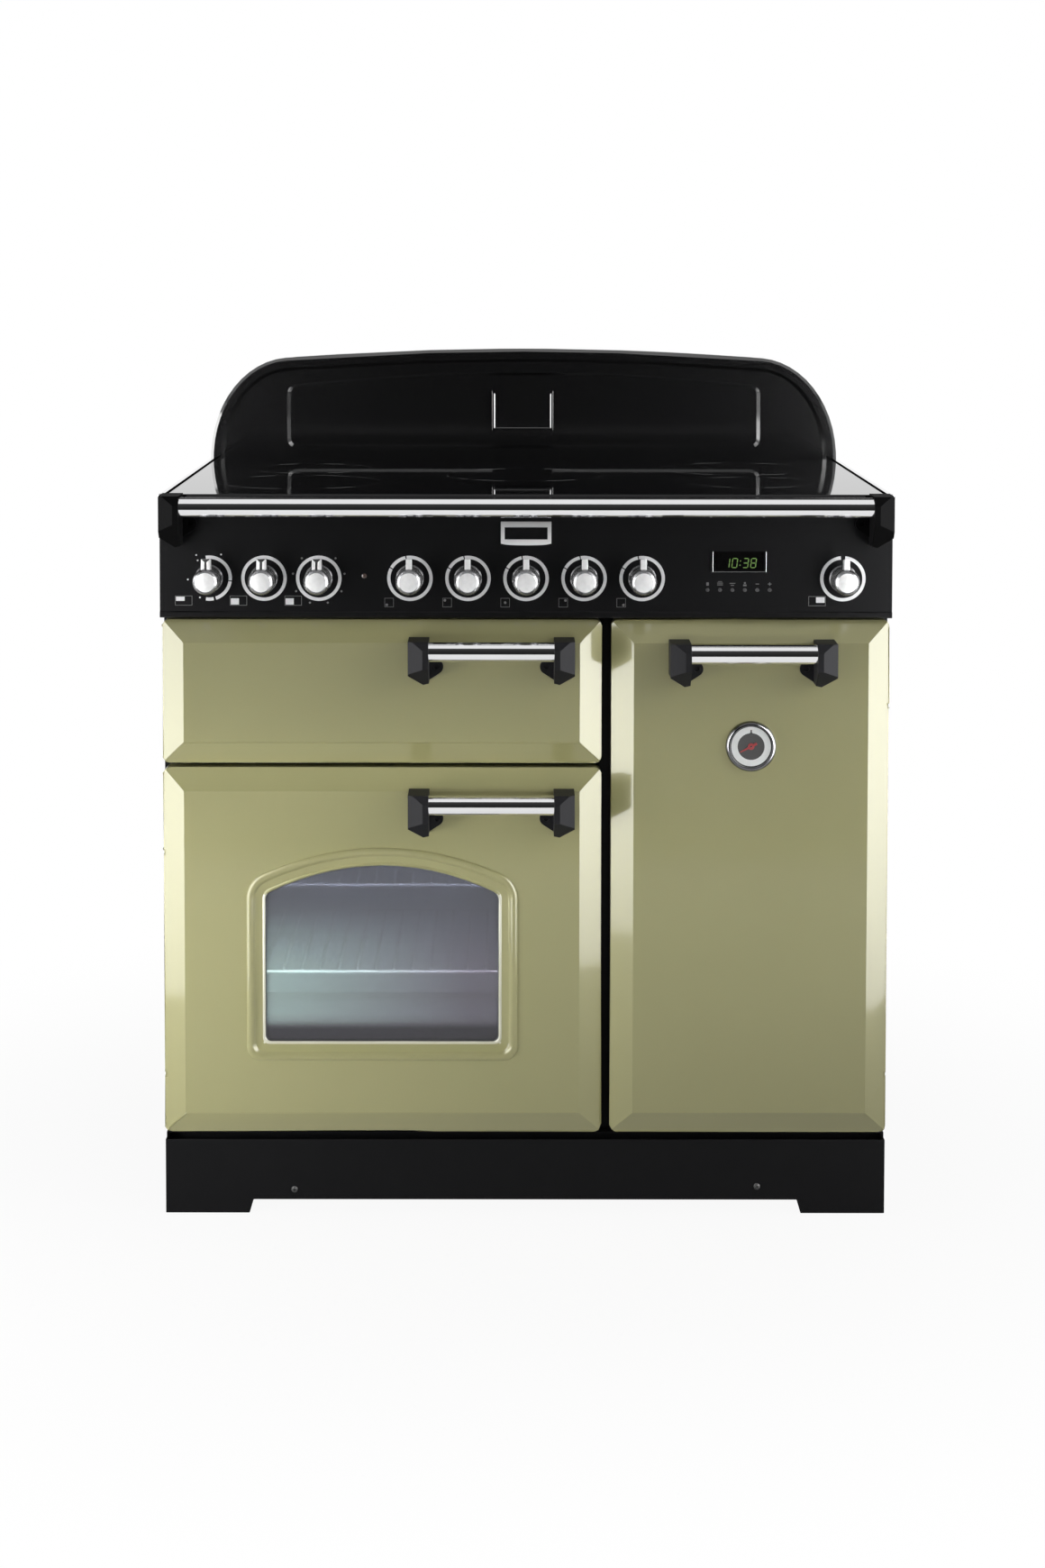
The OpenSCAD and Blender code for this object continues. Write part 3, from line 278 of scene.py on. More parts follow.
# Doors
# The grill, oven and tall doors are pressed from sheet steel in gloss green enamel. Each has a flat
# field inside a wide bevel; its side walls are notched for the hinges. The oven door is cut out for
# its window.
door_face = -0.278
skin_back = -0.240
bevel_width = 0.027
bevel_depth = 0.0155
door_corner = 0.0085
sheet = 0.0015
oven_hinges = (0.179, 0.456)
tall_hinges = (0.179, 0.639)
grill_hinges = (-0.386, 0.033)
hinge_half = 0.003
hinge_front = -0.263
grill_hinge_front = -0.262
grill_notch_h = 0.025
notch_back = -0.2
notch_x = 0.429
# A cutting tool overshoots what it cuts by this much
overshoot = 0.01


def activate(piece):
    deselect()
    piece.select_set(True)
    bpy.context.view_layer.objects.active = piece


def edit(piece, kind="FACE"):
    """Opens a piece in edit mode with nothing selected."""
    activate(piece)
    bpy.ops.object.mode_set(mode="EDIT")
    bpy.ops.mesh.select_mode(type=kind)
    bpy.ops.mesh.select_all(action="DESELECT")
    return bmesh.from_edit_mesh(piece.data)


def pick(piece, kind, test):
    """Selects the faces, edges or corners of a piece for which the test holds."""
    mesh = edit(piece, kind)
    for part in {"FACE": mesh.faces, "EDGE": mesh.edges, "VERT": mesh.verts}[kind]:
        if test(part):
            part.select_set(True)
    bmesh.update_edit_mesh(piece.data)


def leave():
    bpy.ops.object.mode_set(mode="OBJECT")


def faces_front(face):
    return face.normal.y < -0.9


def runs_back(edge):
    """Tells an edge that runs from front to back, if only through a printed digit's thickness."""
    return abs(edge.verts[0].co.y - edge.verts[1].co.y) > 0.0003


def block(name, low, high):
    low, high = Vector(low), Vector(high)
    deselect()
    bpy.ops.mesh.primitive_cube_add(size=1, location=(low + high) / 2, scale=high - low)
    return settle(name)


def modify(piece, kind, settings):
    activate(piece)
    modifier = piece.modifiers.new(kind, kind)
    for name, value in settings.items():
        setattr(modifier, name, value)
    bpy.ops.object.modifier_apply(modifier=modifier.name)


def carve(piece, tool, operation="DIFFERENCE"):
    modify(piece, "BOOLEAN", {"object": tool, "operation": operation, "solver": "EXACT"})
    bpy.data.objects.remove(tool, do_unlink=True)


def round_edges(piece, width, segments=3, angle=20):
    limit = {"limit_method": "ANGLE", "angle_limit": math.radians(angle)}
    modify(piece, "BEVEL", {"width": width, "segments": segments, **limit})


def shade(piece, angle=30):
    activate(piece)
    bpy.ops.object.shade_smooth_by_angle(angle=math.radians(angle))
    modify(piece, "WEIGHTED_NORMAL", {"keep_sharp": True})


def gloss_enamel(name, first, second, gloss):
    """Vitreous enamel: a slightly uneven colour under a clear wet gloss with a faint ripple."""
    enamel = Surface(name, {
        "Roughness": 0.32, "Specular IOR Level": gloss / 3, "Coat Weight": gloss, "Coat Roughness": 0.07,
    })
    enamel.mottle(9.0, 3.0, first, second)
    enamel.bump(enamel.noise(45.0, 2.0), 0.00006)
    return enamel


green_enamel = gloss_enamel("green_enamel", (0.300, 0.288, 0.134), (0.322, 0.309, 0.148), 0.6)


def door_panel(name, node):
    """A box with its front drawn in and forwards to the field, cut to an outline with round corners."""
    low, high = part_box(node)
    rim = (low[0], door_face + bevel_depth, low[2])
    panel = block(name, rim, (high[0], skin_back, high[2]))
    pick(panel, "FACE", faces_front)
    bpy.ops.mesh.inset(thickness=bevel_width)
    bpy.ops.transform.translate(value=(0, -bevel_depth, 0))
    leave()
    front, back = door_face - overshoot, skin_back + overshoot
    outline = block("outline", (low[0], front, low[2]), (high[0], back, high[2]))
    pick(outline, "EDGE", runs_back)
    bpy.ops.mesh.bevel(offset=door_corner, segments=8, affect="EDGES")
    leave()
    carve(panel, outline, "INTERSECT")
    return panel


def open_back(panel):
    """Takes the back away, rounds the pressed edges and gives the sheet its thickness."""
    pick(panel, "FACE", lambda face: face.normal.y > 0.9 and face.calc_center_median().y > skin_back - 0.0001)
    bpy.ops.mesh.delete(type="FACE")
    leave()
    round_edges(panel, 0.0014)
    modify(panel, "SOLIDIFY", {"thickness": sheet, "offset": -1})
    shade(panel)


grill_panel = door_panel("grill_door_panel", "grill_door")
oven_panel = door_panel("oven_door_panel", "oven_door")
tall_panel = door_panel("tall_door_panel", "tall_door")
grill_low_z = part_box("grill_door")[0][2]
oven_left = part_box("oven_door")[0][0] - overshoot
tall_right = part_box("tall_door")[1][0] + overshoot
for x in grill_hinges:
    notch_low = (x - hinge_half, grill_hinge_front, grill_low_z - overshoot)
    carve(grill_panel, block("notch", notch_low, (x + hinge_half, notch_back, grill_low_z + grill_notch_h)))
for z in oven_hinges:
    notch_low = (oven_left, hinge_front, z - hinge_half)
    carve(oven_panel, block("notch", notch_low, (-notch_x, notch_back, z + hinge_half)))
for z in tall_hinges:
    notch_low = (notch_x, hinge_front, z - hinge_half)
    carve(tall_panel, block("notch", notch_low, (tall_right, notch_back, z + hinge_half)))

# Window moulding
# A frame of the door's own steel pressed round the arched window: a raised bead, a valley and a
# step down to the glass, which ends in a thin lip. A painted highlight makes the lip pale beside and
# below the glass, and painted shade makes the innermost turn black. It closes the cut in the door.
window_w = 0.285
window_low = 0.2235
window_side = 0.182
window_rise = 0.035
corner_steps = 5
arch_cuts = 13
# A corner or an edge this near to a line or a plane counts as being on it
near = 0.001
# A ring outside the glass has its springing and its crown raised by these shares of its distance
spring_share = 0.72
crown_share = 0.28
plug_reach = (-0.22, -0.30)
# How far each ring stands outside the glass, its lower and upper corner radii, its reach forwards
moulding_rings = (
    (0.0240, 0.0160, 0.0200, -0.0006),
    (0.0236, 0.0158, 0.0198, 0.0018),
    (0.0222, 0.0150, 0.0190, 0.0034),
    (0.0195, 0.0140, 0.0175, 0.0040),
    (0.0168, 0.0130, 0.0160, 0.0034),
    (0.0150, 0.0122, 0.0148, 0.0016),
    (0.0140, 0.0118, 0.0140, -0.0006),
    (0.0128, 0.0112, 0.0130, -0.0014),
    (0.0060, 0.0085, 0.0090, -0.0030),
    (0.0046, 0.0080, 0.0084, -0.0034),
    (0.0038, 0.0078, 0.0080, -0.0026),
    (0.0024, 0.0074, 0.0076, -0.0024),
    (0.0010, 0.0070, 0.0072, -0.0032),
    (0.0000, 0.0068, 0.0070, -0.0069),
)


def middle(edge):
    return (edge.verts[0].co + edge.verts[1].co) / 2


def join(piece, *others):
    activate(piece)
    for other in others:
        other.select_set(True)
    bpy.ops.object.join()
    return piece


def dress(piece, surface, slot, body, *nodes):
    """Gives a piece its material and the body that carries it; the slot argument is not used."""
    if not piece.data.materials:
        piece.data.materials.append(surface.material)
    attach(piece, body)
    if nodes:
        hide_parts(*nodes)


def box_middle(node):
    """The middle of a CAD node's box as the front shows it, x and z."""
    low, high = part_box(node)
    return (low[0] + high[0]) / 2, (low[2] + high[2]) / 2


def extrude(*value):
    bpy.ops.mesh.extrude_region_move(TRANSFORM_OT_translate={"value": value})


def turn_outwards():
    """Points all faces of the piece in edit mode outwards and leaves edit mode."""
    bpy.ops.mesh.select_all(action="SELECT")
    bpy.ops.mesh.normals_make_consistent(inside=False)
    leave()


def draw_up(height, falloff, reach):
    """Raises the picked corner with, less and less, those within reach, and leaves edit mode."""
    bpy.ops.transform.translate(
        value=(0, 0, height), use_proportional_edit=True,
        proportional_edit_falloff=falloff, proportional_size=reach
    )
    leave()


window_x = box_middle("oven_door")[0]


def arch_outline(name, grow, low_corner, high_corner, y):
    """A flat face with rounded corners and an arched top, grow outside the window's glass."""
    spring = window_low + window_side + spring_share * grow
    low_z = window_low - grow
    wide = window_w + 2 * grow
    deselect()
    place = (window_x, y, (low_z + spring) / 2)
    bpy.ops.mesh.primitive_plane_add(size=1, location=place, rotation=(math.pi / 2, 0, 0))
    bpy.context.object.scale = (wide, spring - low_z, 1)
    face = settle(name)
    pick(face, "EDGE", lambda edge: middle(edge).z > spring - near)
    bpy.ops.mesh.subdivide(number_cuts=arch_cuts)
    leave()
    pick(face, "VERT", lambda corner: corner.co.z > spring - near and abs(corner.co.x - window_x) < near)
    draw_up(window_rise + crown_share * grow, "INVERSE_SQUARE", wide / 2)
    for radius, at_z in ((low_corner, low_z), (high_corner, spring)):
        pick(face, "VERT", lambda corner: abs(corner.co.z - at_z) < near
             and abs(corner.co.x - window_x) > wide / 2 - near)
        bpy.ops.mesh.bevel(offset=radius, segments=corner_steps, affect="VERTICES")
        leave()
    return face


plug = arch_outline("plug", 0.0215, 0.015, 0.018, plug_reach[0])
pick(plug, "FACE", lambda face: True)
extrude(0, plug_reach[1] - plug_reach[0], 0)
turn_outwards()
carve(oven_panel, plug)
for panel in (grill_panel, oven_panel, tall_panel):
    open_back(panel)

rings = [
    arch_outline("ring", grow, low_corner, high_corner, door_face - rise)
    for grow, low_corner, high_corner, rise in moulding_rings
]
ring_size = len(rings[0].data.vertices)
moulding = join(rings[0], *rings[1:])
moulding.name = "oven_window_moulding"
pick(moulding, "FACE", lambda face: True)
bpy.ops.mesh.delete(type="ONLY_FACE")
leave()
for first in range(len(moulding_rings) - 1):
    pair = range(first * ring_size, (first + 2) * ring_size)
    pick(moulding, "EDGE", lambda edge: all(corner.index in pair for corner in edge.verts)
         and edge.verts[0].index // ring_size == edge.verts[1].index // ring_size)
    bpy.ops.mesh.bridge_edge_loops()
    leave()
edit(moulding)
turn_outwards()
if sum(face.normal.y * face.area for face in moulding.data.polygons) > 0:
    pick(moulding, "FACE", lambda face: True)
    bpy.ops.mesh.flip_normals()
    leave()
moulding.data.materials.append(green_enamel.material)
# The lip's pale colour is a painted highlight
lip_highlight = Surface("window_lip_highlight", {"Roughness": 0.25, "Coat Weight": 1.0, "Coat Roughness": 0.05})
lip_highlight.mottle(30.0, 2.0, (0.55, 0.54, 0.42), (0.62, 0.61, 0.50))
# The black of the innermost turn is painted shade
edge_shade = Surface("window_edge_shade", {"Roughness": 0.5})
edge_shade.mottle(60.0, 2.0, (0.012, 0.012, 0.012), (0.02, 0.02, 0.02))
moulding.data.materials.append(lip_highlight.material)
moulding.data.materials.append(edge_shade.material)
# The lip is pale beside and below the glass, a painted highlight; the innermost turn is black all round,
# painted shade
lip_w = 0.0043
lip_depth = 0.0023
black_depth = 0.0047
for face in moulding.data.polygons:
    outside = max(abs(face.center.x - window_x) - window_w / 2, window_low - face.center.z)
    depth = face.center.y - door_face
    if depth > black_depth:
        face.material_index = 2
    elif depth > lip_depth and outside < lip_w and face.center.z < window_low + window_side:
        face.material_index = 1
shade(moulding, 50)
for panel, body in ((grill_panel, "grill_door"), (oven_panel, "oven_door"), (tall_panel, "tall_door")):
    dress(panel, green_enamel, "green_enamel", body, body)
dress(moulding, green_enamel, "green_enamel", "oven_door")

# Handles and handrail
# Chromed tube in black die-cast brackets. Each bracket is faceted, ends in a point below and has a
# screwed lobe on its inner side.
tube_sides = 96
polished_chrome = Surface("polished_chrome", {"Metallic": 1.0})
polished_chrome.mottle(20.0, 2.0, (0.74, 0.74, 0.75), (0.80, 0.80, 0.81))
polished_chrome.drive("Roughness", polished_chrome.noise(60.0, 3.0) * 0.03 + 0.035)


def rod(name, start, end, radius, sides=48):
    start, end = Vector(start), Vector(end)
    turn = (end - start).to_track_quat("Z", "Y").to_euler()
    deselect()
    bpy.ops.mesh.primitive_cylinder_add(
        vertices=sides, radius=radius, depth=(end - start).length, location=(start + end) / 2, rotation=turn
    )
    return settle(name)


def tube(name, node, body):
    """A chromed bar as long and thick as its CAD node, with its ends drawn in and eased."""
    low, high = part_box(node)
    y, z = (low[1] + high[1]) / 2, (low[2] + high[2]) / 2
    bar = rod(name, (low[0], y, z), (high[0], y, z), (high[2] - low[2]) / 2, tube_sides)
    pick(bar, "FACE", lambda face: abs(face.normal.x) > 0.9)
    bpy.ops.mesh.inset(thickness=0.0018)
    extrude(0, 0, 0)
    leave()
    round_edges(bar, 0.0004, 2, 60)
    shade(bar)
    dress(bar, polished_chrome, "polished_chrome", body, node)


def cast_surface(name, first, second, gloss):
    """Painted die-cast metal with a fine grain."""
    cast = Surface(name, {
        "Roughness": 0.5, "Specular IOR Level": gloss, "Coat Weight": gloss, "Coat Roughness": 0.2,
    })
    cast.mottle(40.0, 3.0, first, second)
    cast.bump(cast.noise(900.0, 2.0), 0.00003)
    return cast


black_cast = cast_surface("black_cast", (0.010, 0.010, 0.011), (0.015, 0.015, 0.017), 0.04)
# The handrail's brackets are the same castings as the handles'; this darker copy of their finish is painted
# shade
shaded_rail_cast = cast_surface("shaded_rail_cast", (0.0030, 0.0030, 0.0032), (0.0050, 0.0050, 0.0052), 0.01)


def copy_node(name, node):
    """A merged copy of a CAD node's mesh, as the start of a softer piece."""
    deselect()
    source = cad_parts[node]
    piece = bpy.data.objects.new(name, source.data.copy())
    scene.collection.objects.link(piece)
    piece.data.materials.clear()
    edit(piece, "VERT")
    bpy.ops.mesh.select_all(action="SELECT")
    bpy.ops.mesh.remove_doubles(threshold=0.00001)
    bpy.ops.mesh.dissolve_limited(angle_limit=math.radians(1))
    leave()
    return piece


# Each bar with its brackets, and the body that carries it
bar_bodies = {
    "grill_handle": "grill_door", "oven_handle": "oven_door",
    "tall_handle": "tall_door", "handrail": "carcass",
}
for name, body in bar_bodies.items():
    tube(name + "_tube", name + "_bar", body)
    brackets = copy_node(name + "_castings", name + "_brackets")
    round_edges(brackets, 0.0012, 3, 12)
    shade(brackets, 25)
    cast = shaded_rail_cast if name == "handrail" else black_cast
    dress(brackets, cast, "black_metal", body, name + "_brackets")

# Splashback
# Pressed steel in gloss black enamel with a rolled rim over its rounded shoulders and a pressed
# panel. The plaque in its middle is bare.
splash = copy_node("splashback_panel", "splashback")
splash_enamel = gloss_enamel("splash_enamel", (0.0030, 0.0030, 0.0034), (0.0040, 0.0040, 0.0044), 1.0)
for socket, level in {"Coat Roughness": 0.09, "Coat IOR": 1.9, "Specular IOR Level": 0.03}.items():
    splash_enamel.shader.inputs[socket].default_value = level
round_edges(splash, 0.0040, 5, 25)
shade(splash, 35)
dress(splash, splash_enamel, "black_enamel", "carcass", "splashback")

plaque_low = (-0.045, 0.3075, 0.9395)
plaque_high = (0.042, 0.3130, 0.9956)
plaque = block("splashback_plaque", plaque_low, plaque_high)
pick(plaque, "FACE", faces_front)
bpy.ops.mesh.inset(thickness=0.003)
bpy.ops.mesh.inset(thickness=0.001)
bpy.ops.transform.translate(value=(0, 0.0008, 0))
leave()
round_edges(plaque, 0.0005, 2, 25)
shade(plaque)
dress(plaque, splash_enamel, "black_enamel", "carcass")

# Hob
# A black ceramic glass plate with eased edges and faint printed cooking zones, between two
# polished trims. The glass is a near mirror at this low angle.
glass_low, glass_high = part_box("hob_glass")
hob = block("hob_glass_plate", glass_low, glass_high)
round_edges(hob, 0.0012, 3)
hob_glass = Surface("hob_glass", {"Roughness": 0.03, "IOR": 1.5})
hob_glass.mottle(400.0, 2.0, (0.004, 0.004, 0.005), (0.007, 0.007, 0.008))
shade(hob)
dress(hob, hob_glass, "hob_glass", "carcass", "hob_glass")
zone_print = Surface("zone_print", {"Roughness": 0.05, "IOR": 1.5})
zone_print.mottle(500.0, 2.0, (0.012, 0.012, 0.013), (0.018, 0.018, 0.019))


def flat_ring(name, center, outer, inner, lift, axis, surface, arc=(0, 360), sides=96):
    """A printed ring or a clockwise arc of one: a circle of edges drawn in and raised by its thickness."""
    turn = (math.pi / 2, 0, 0) if axis == "Y" else (0, 0, 0)
    deselect()
    bpy.ops.mesh.primitive_circle_add(vertices=sides, radius=outer, location=center, rotation=turn)
    ring = settle(name)
    pick(ring, "EDGE", lambda edge: True)
    extrude(0, 0, 0)
    ratio = inner / outer
    bpy.ops.transform.resize(value=(ratio, ratio, ratio), center_override=center)
    leave()

    def clock(face):
        """The face's place round the ring in degrees, clockwise from the top."""
        away = face.calc_center_median() - Vector(center)
        up = away.z if axis == "Y" else away.y
        return math.degrees(math.atan2(away.x, up))

    pick(ring, "FACE", lambda face: (clock(face) - arc[0]) % 360 > arc[1] - arc[0])
    bpy.ops.mesh.delete(type="FACE")
    bpy.ops.mesh.select_all(action="SELECT")
    extrude(*((0, -lift, 0) if axis == "Y" else (0, 0, lift)))
    turn_outwards()
    ring.data.materials.append(surface.material)
    return ring


large_zone = 0.105
small_zone = 0.0825
zone_line = 0.0012
zone_lift = 0.00005
cooking_zones = (
    (-0.29, -0.087, large_zone), (-0.29, 0.133, small_zone), (0.0, 0.031, large_zone),
    (0.29, -0.087, small_zone), (0.29, 0.133, large_zone),
)
zones = []
for x, y, radius in cooking_zones:
    at = (x, y, glass_high[2])
    zones.append(flat_ring("zone", at, radius, radius - zone_line, zone_lift, "Z", zone_print))
zone_rings = join(*zones)
zone_rings.name = "hob_zone_rings"
dress(zone_rings, zone_print, "hob_glass", "carcass")

trims = copy_node("hob_side_trims", "hob_trims")
# Chrome ends this far from the trim's outer edge; from there to the glass it is dark, a painted shadow of the
# gap beside the glass
chrome_w = 0.0078
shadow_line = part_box("hob_trims")[1][0] - chrome_w
for side in (-1, 1):
    pick(trims, "FACE", lambda face: face.calc_center_median().x * side > 0)
    bpy.ops.mesh.bisect(plane_co=(side * shadow_line, 0, 0), plane_no=(1, 0, 0))
    leave()
round_edges(trims, 0.0006, 2, 25)
trims.data.materials.append(polished_chrome.material)
# Painted shadow: matte black on the trims' inner part
trim_shadow = Surface("trim_shadow", {"Roughness": 0.9, "Specular IOR Level": 0.0})
trim_shadow.mottle(80.0, 2.0, (0.006, 0.006, 0.006), (0.010, 0.010, 0.010))
trims.data.materials.append(trim_shadow.material)
for face in trims.data.polygons:
    face.material_index = int(abs(face.center.x) < shadow_line)
shade(trims)
dress(trims, polished_chrome, "polished_chrome", "carcass", "hob_trims")

# Control panel
# A black enamelled fascia with a lip along its lower edge, printed marks, and a chromed frame
# round a bare window in its middle.
panel_face = -0.270
print_lift = 0.00015
print_root = panel_face + 0.0002
knob_height = 0.7955
black_enamel = gloss_enamel("black_enamel", (0.0032, 0.0032, 0.0036), (0.0042, 0.0042, 0.0046), 0.3)
fascia = copy_node("control_fascia", "control_panel")
round_edges(fascia, 0.0006, 2, 40)
shade(fascia, 35)
dress(fascia, black_enamel, "black_enamel", "carcass", "control_panel")

silver_print = Surface("silver_print", {"Metallic": 0.3, "Roughness": 0.35})
silver_print.mottle(300.0, 2.0, (0.60, 0.60, 0.61), (0.76, 0.76, 0.77))
grey_print = Surface("grey_print", {"Roughness": 0.4})
grey_print.mottle(300.0, 2.0, (0.10, 0.10, 0.10), (0.14, 0.14, 0.14))


def upright(name, x, z, wide, tall, front, back):
    """A block by its middle and its size as the front shows them, and its front and back."""
    return block(name, (x - wide / 2, front, z - tall / 2), (x + wide / 2, back, z + tall / 2))


def mark(x, z, wide, tall, paint=silver_print):
    """A printed block: a plate just proud of the fascia, its face drawn in by a hair."""
    plate = upright("mark", x, z, wide, tall, panel_face - print_lift, print_root)
    pick(plate, "FACE", faces_front)
    bpy.ops.mesh.inset(thickness=0.00008)
    leave()
    plate.data.materials.append(paint.material)
    return plate


def dot(x, z, radius, paint=silver_print):
    spot = rod("dot", (x, print_root, z), (x, panel_face - print_lift, z), radius, 16)
    spot.data.materials.append(paint.material)
    return spot


def frame_mark(x, z, wide, tall, line):
    """A printed grey outline: a plate with its middle cut out."""
    plate = upright("frame", x, z, wide, tall, panel_face - print_lift, print_root)
    inner_w, inner_h = wide - 2 * line, tall - 2 * line
    carve(plate, upright("hole", x, z, inner_w, inner_h, panel_face - overshoot, panel_face + overshoot))
    plate.data.materials.append(grey_print.material)
    return plate


oven_knobs = ("knob_grill", "knob_oven_function", "knob_oven_heat")
hob_knobs = tuple("knob_hob_%d" % number for number in range(1, 6))
tall_knob = "knob_tall_oven"
knob_x = {name: box_middle(name)[0] for name in (*oven_knobs, *hob_knobs, tall_knob)}
ring_outer = 0.0278
ring_inner = 0.0238
# Clockwise arcs of each knob's ring, in degrees from the top
arcs = {"knob_grill": ((-8, 95), (99, 163), (167, 188)), tall_knob: ((7, 353),)}
arcs.update({name: ((0, 360),) for name in oven_knobs[1:]})
arcs.update({name: ((-8.5, 296.5), (299.5, 348.5)) for name in hob_knobs})
# Printed dots as offsets from the grill knob, and dots all round the oven's heat knob
grill_dots = ((-0.0157, 0.0284), (-0.0140, 0.0218), (-0.0261, -0.0017), (-0.0115, -0.0238), (0.0147, 0.0290))
heat_dots = (-160, -120, -80, -40, 40, 80, 120, 160)
dot_circle = 0.0320
plan_at = (-0.0314, -0.0276)
plan_size = (0.0210, 0.0120)
plan_margin = 0.0012
# The oven that each knob works: a block in a corner of the printed outline, with its size
plan_blocks = {
    "knob_grill": (-1, 1, 0.0105, 0.0052),
    "knob_oven_function": (-1, -1, 0.0100, 0.0076),
    "knob_oven_heat": (-1, -1, 0.0100, 0.0076),
    tall_knob: (1, 1, 0.0105, 0.0068),
}
# The zone that each hob knob works: a dot in a printed square
zone_at = (-0.0255, -0.0298)
zone_square = 0.0112
zone_step = 0.0028
zone_spots = ((-1, -1), (-1, 1), (0, 0), (1, 1), (1, -1))

prints = []
for name, spans in arcs.items():
    at = (knob_x[name], panel_face, knob_height)
    for arc in spans:
        prints.append(flat_ring("ring", at, ring_outer, ring_inner, print_lift, "Y", silver_print, arc, 120))
for x, z in grill_dots:
    prints.append(dot(knob_x["knob_grill"] + x, knob_height + z, 0.0010))
for angle in heat_dots:
    heading = math.radians(angle)
    x, z = dot_circle * math.sin(heading), dot_circle * math.cos(heading)
    prints.append(dot(knob_x["knob_oven_heat"] + x, knob_height + z, 0.0013, grey_print))
for name, (side, up, wide, tall) in plan_blocks.items():
    x, z = knob_x[name] + plan_at[0], knob_height + plan_at[1]
    prints.append(frame_mark(x, z, *plan_size, 0.0006))
    inner_x = x + side * (plan_size[0] / 2 - plan_margin - wide / 2)
    inner_z = z + up * (plan_size[1] / 2 - plan_margin - tall / 2)
    prints.append(mark(inner_x, inner_z, wide, tall))
for name, (side, up) in zip(hob_knobs, zone_spots):
    x, z = knob_x[name] + zone_at[0], knob_height + zone_at[1]
    prints.append(frame_mark(x, z, zone_square, zone_square, 0.0005))
    prints.append(dot(x + side * zone_step, z + up * zone_step, 0.0016, grey_print))
symbol_z = 0.7889
clock_x = box_middle("clock_display")[0]
# Small symbols over the six clock buttons, as offsets and sizes of their strokes
symbols = (
    (-0.0380, ((0, 0, 0.0030, 0.0040),)),
    (-0.0228, ((0, 0.0011, 0.0070, 0.0009), (0, -0.0011, 0.0070, 0.0009), (0, 0.0030, 0.0050, 0.0007))),
    (-0.0076, ((0, 0.0008, 0.0070, 0.0009), (0, -0.0016, 0.0040, 0.0009))),
    (0.0076, ((0, 0.0012, 0.0022, 0.0022), (0, -0.0016, 0.0040, 0.0020))),
    (0.0228, ((0, 0, 0.0042, 0.0009),)),
    (0.0380, ((0, 0, 0.0042, 0.0009), (0, 0, 0.0009, 0.0042))),
)
for offset, strokes in symbols:
    for x, z, wide, tall in strokes:
        prints.append(mark(clock_x + offset + x, symbol_z + z, wide, tall, grey_print))
printing = join(*prints)
printing.name = "panel_printing"
dress(printing, silver_print, "pale_plastic", "carcass")

# A frame whose lower edge sags in an arc, round a shallow hole with a black bottom
badge_half_w = 0.0308
badge_low_z = 0.8384
badge_high_z = 0.8653
badge_sag = 0.0021
badge_front = panel_face - 0.0024
hole_half_w = 0.0264
hole_low_z = 0.8434
hole_high_z = 0.8585
hole_bottom = badge_front + 0.0016
# How fast painted shade turns its metal from pale to grey upwards, as a share per metre
shade_rate = 35
deselect()
badge_mid = (0, badge_front, (badge_low_z + badge_high_z) / 2)
bpy.ops.mesh.primitive_plane_add(size=1, location=badge_mid, rotation=(math.pi / 2, 0, 0))
bpy.context.object.scale = (2 * badge_half_w, badge_high_z - badge_low_z, 1)
badge = settle("panel_window_frame")
pick(badge, "EDGE", lambda edge: middle(edge).z < badge_low_z + near)
bpy.ops.mesh.subdivide(number_cuts=9)
leave()
pick(badge, "VERT", lambda corner: corner.co.z < badge_low_z + near and abs(corner.co.x) < near)
draw_up(-badge_sag, "SPHERE", badge_half_w)
pick(badge, "FACE", lambda face: True)
extrude(0, print_root - badge_front, 0)
turn_outwards()
# Painted shade: the frame's metal is pale at its foot and greys towards its top
pale_metal_shaded = Surface("pale_metal_shaded", {"Metallic": 0.1, "Roughness": 0.3})
shade_share = (pale_metal_shaded.across("Z") - badge_low_z) * shade_rate
pale_metal_shaded.drive("Base Color", pale_metal_shaded.mix(shade_share, (0.98, 0.98, 0.98, 1), (0.45, 0.45, 0.45, 1)))
badge.data.materials.append(pale_metal_shaded.material)
badge.data.materials.append(black_enamel.material)
hole_low = (-hole_half_w, badge_front - overshoot, hole_low_z)
carve(badge, block("hole", hole_low, (hole_half_w, hole_bottom, hole_high_z)))
for face in badge.data.polygons:
    face.material_index = int(faces_front(face) and face.center.y > badge_front + near)
round_edges(badge, 0.0004, 2, 40)
shade(badge)
dress(badge, polished_chrome, "polished_chrome", "carcass")

# Knobs
# Nine chromed metal knobs, turned with a waist and a domed end, each with a pointer fin that turns
# with it. The grill knob and both oven knobs have wider fins with a dark groove along the front.
knob_foot = panel_face - 0.001
knob_profile = (
    (0.0170, 0.0000), (0.0170, 0.0022), (0.0164, 0.0030), (0.0152, 0.0045), (0.0148, 0.0080),
    (0.0147, 0.0180), (0.0149, 0.0270), (0.0155, 0.0330), (0.0160, 0.0362), (0.0160, 0.0392),
    (0.0157, 0.0412), (0.0149, 0.0432), (0.0135, 0.0450), (0.0118, 0.0462), (0.0116, 0.0459),
    (0.0060, 0.0464), (0.0010, 0.0466),
)
dome_radius = 0.0119
pointer_front = knob_foot - 0.0425
pointer_back = knob_foot - 0.0240
pointer_low = knob_height + 0.0030
pointer_high = knob_height + 0.0280
# The pointer's tip is set back at its front, and drawn forwards and down at its back
tip_steps = {pointer_front: (0, 0.0035, 0), pointer_back: (0, -0.004, -0.002)}
# The groove's frame and half the groove, as shares of the pointer's width, then its depth and limits
groove_frame = 0.36
groove_half = 0.16
groove_depth = 0.0012
groove_back = knob_foot - 0.036
groove_low = knob_height + 0.004
satin_metal = Surface("satin_metal", {"Metallic": 0.35, "Roughness": 0.34})
satin_metal.mottle(160.0, 3.0, (0.74, 0.74, 0.74), (0.97, 0.97, 0.97))
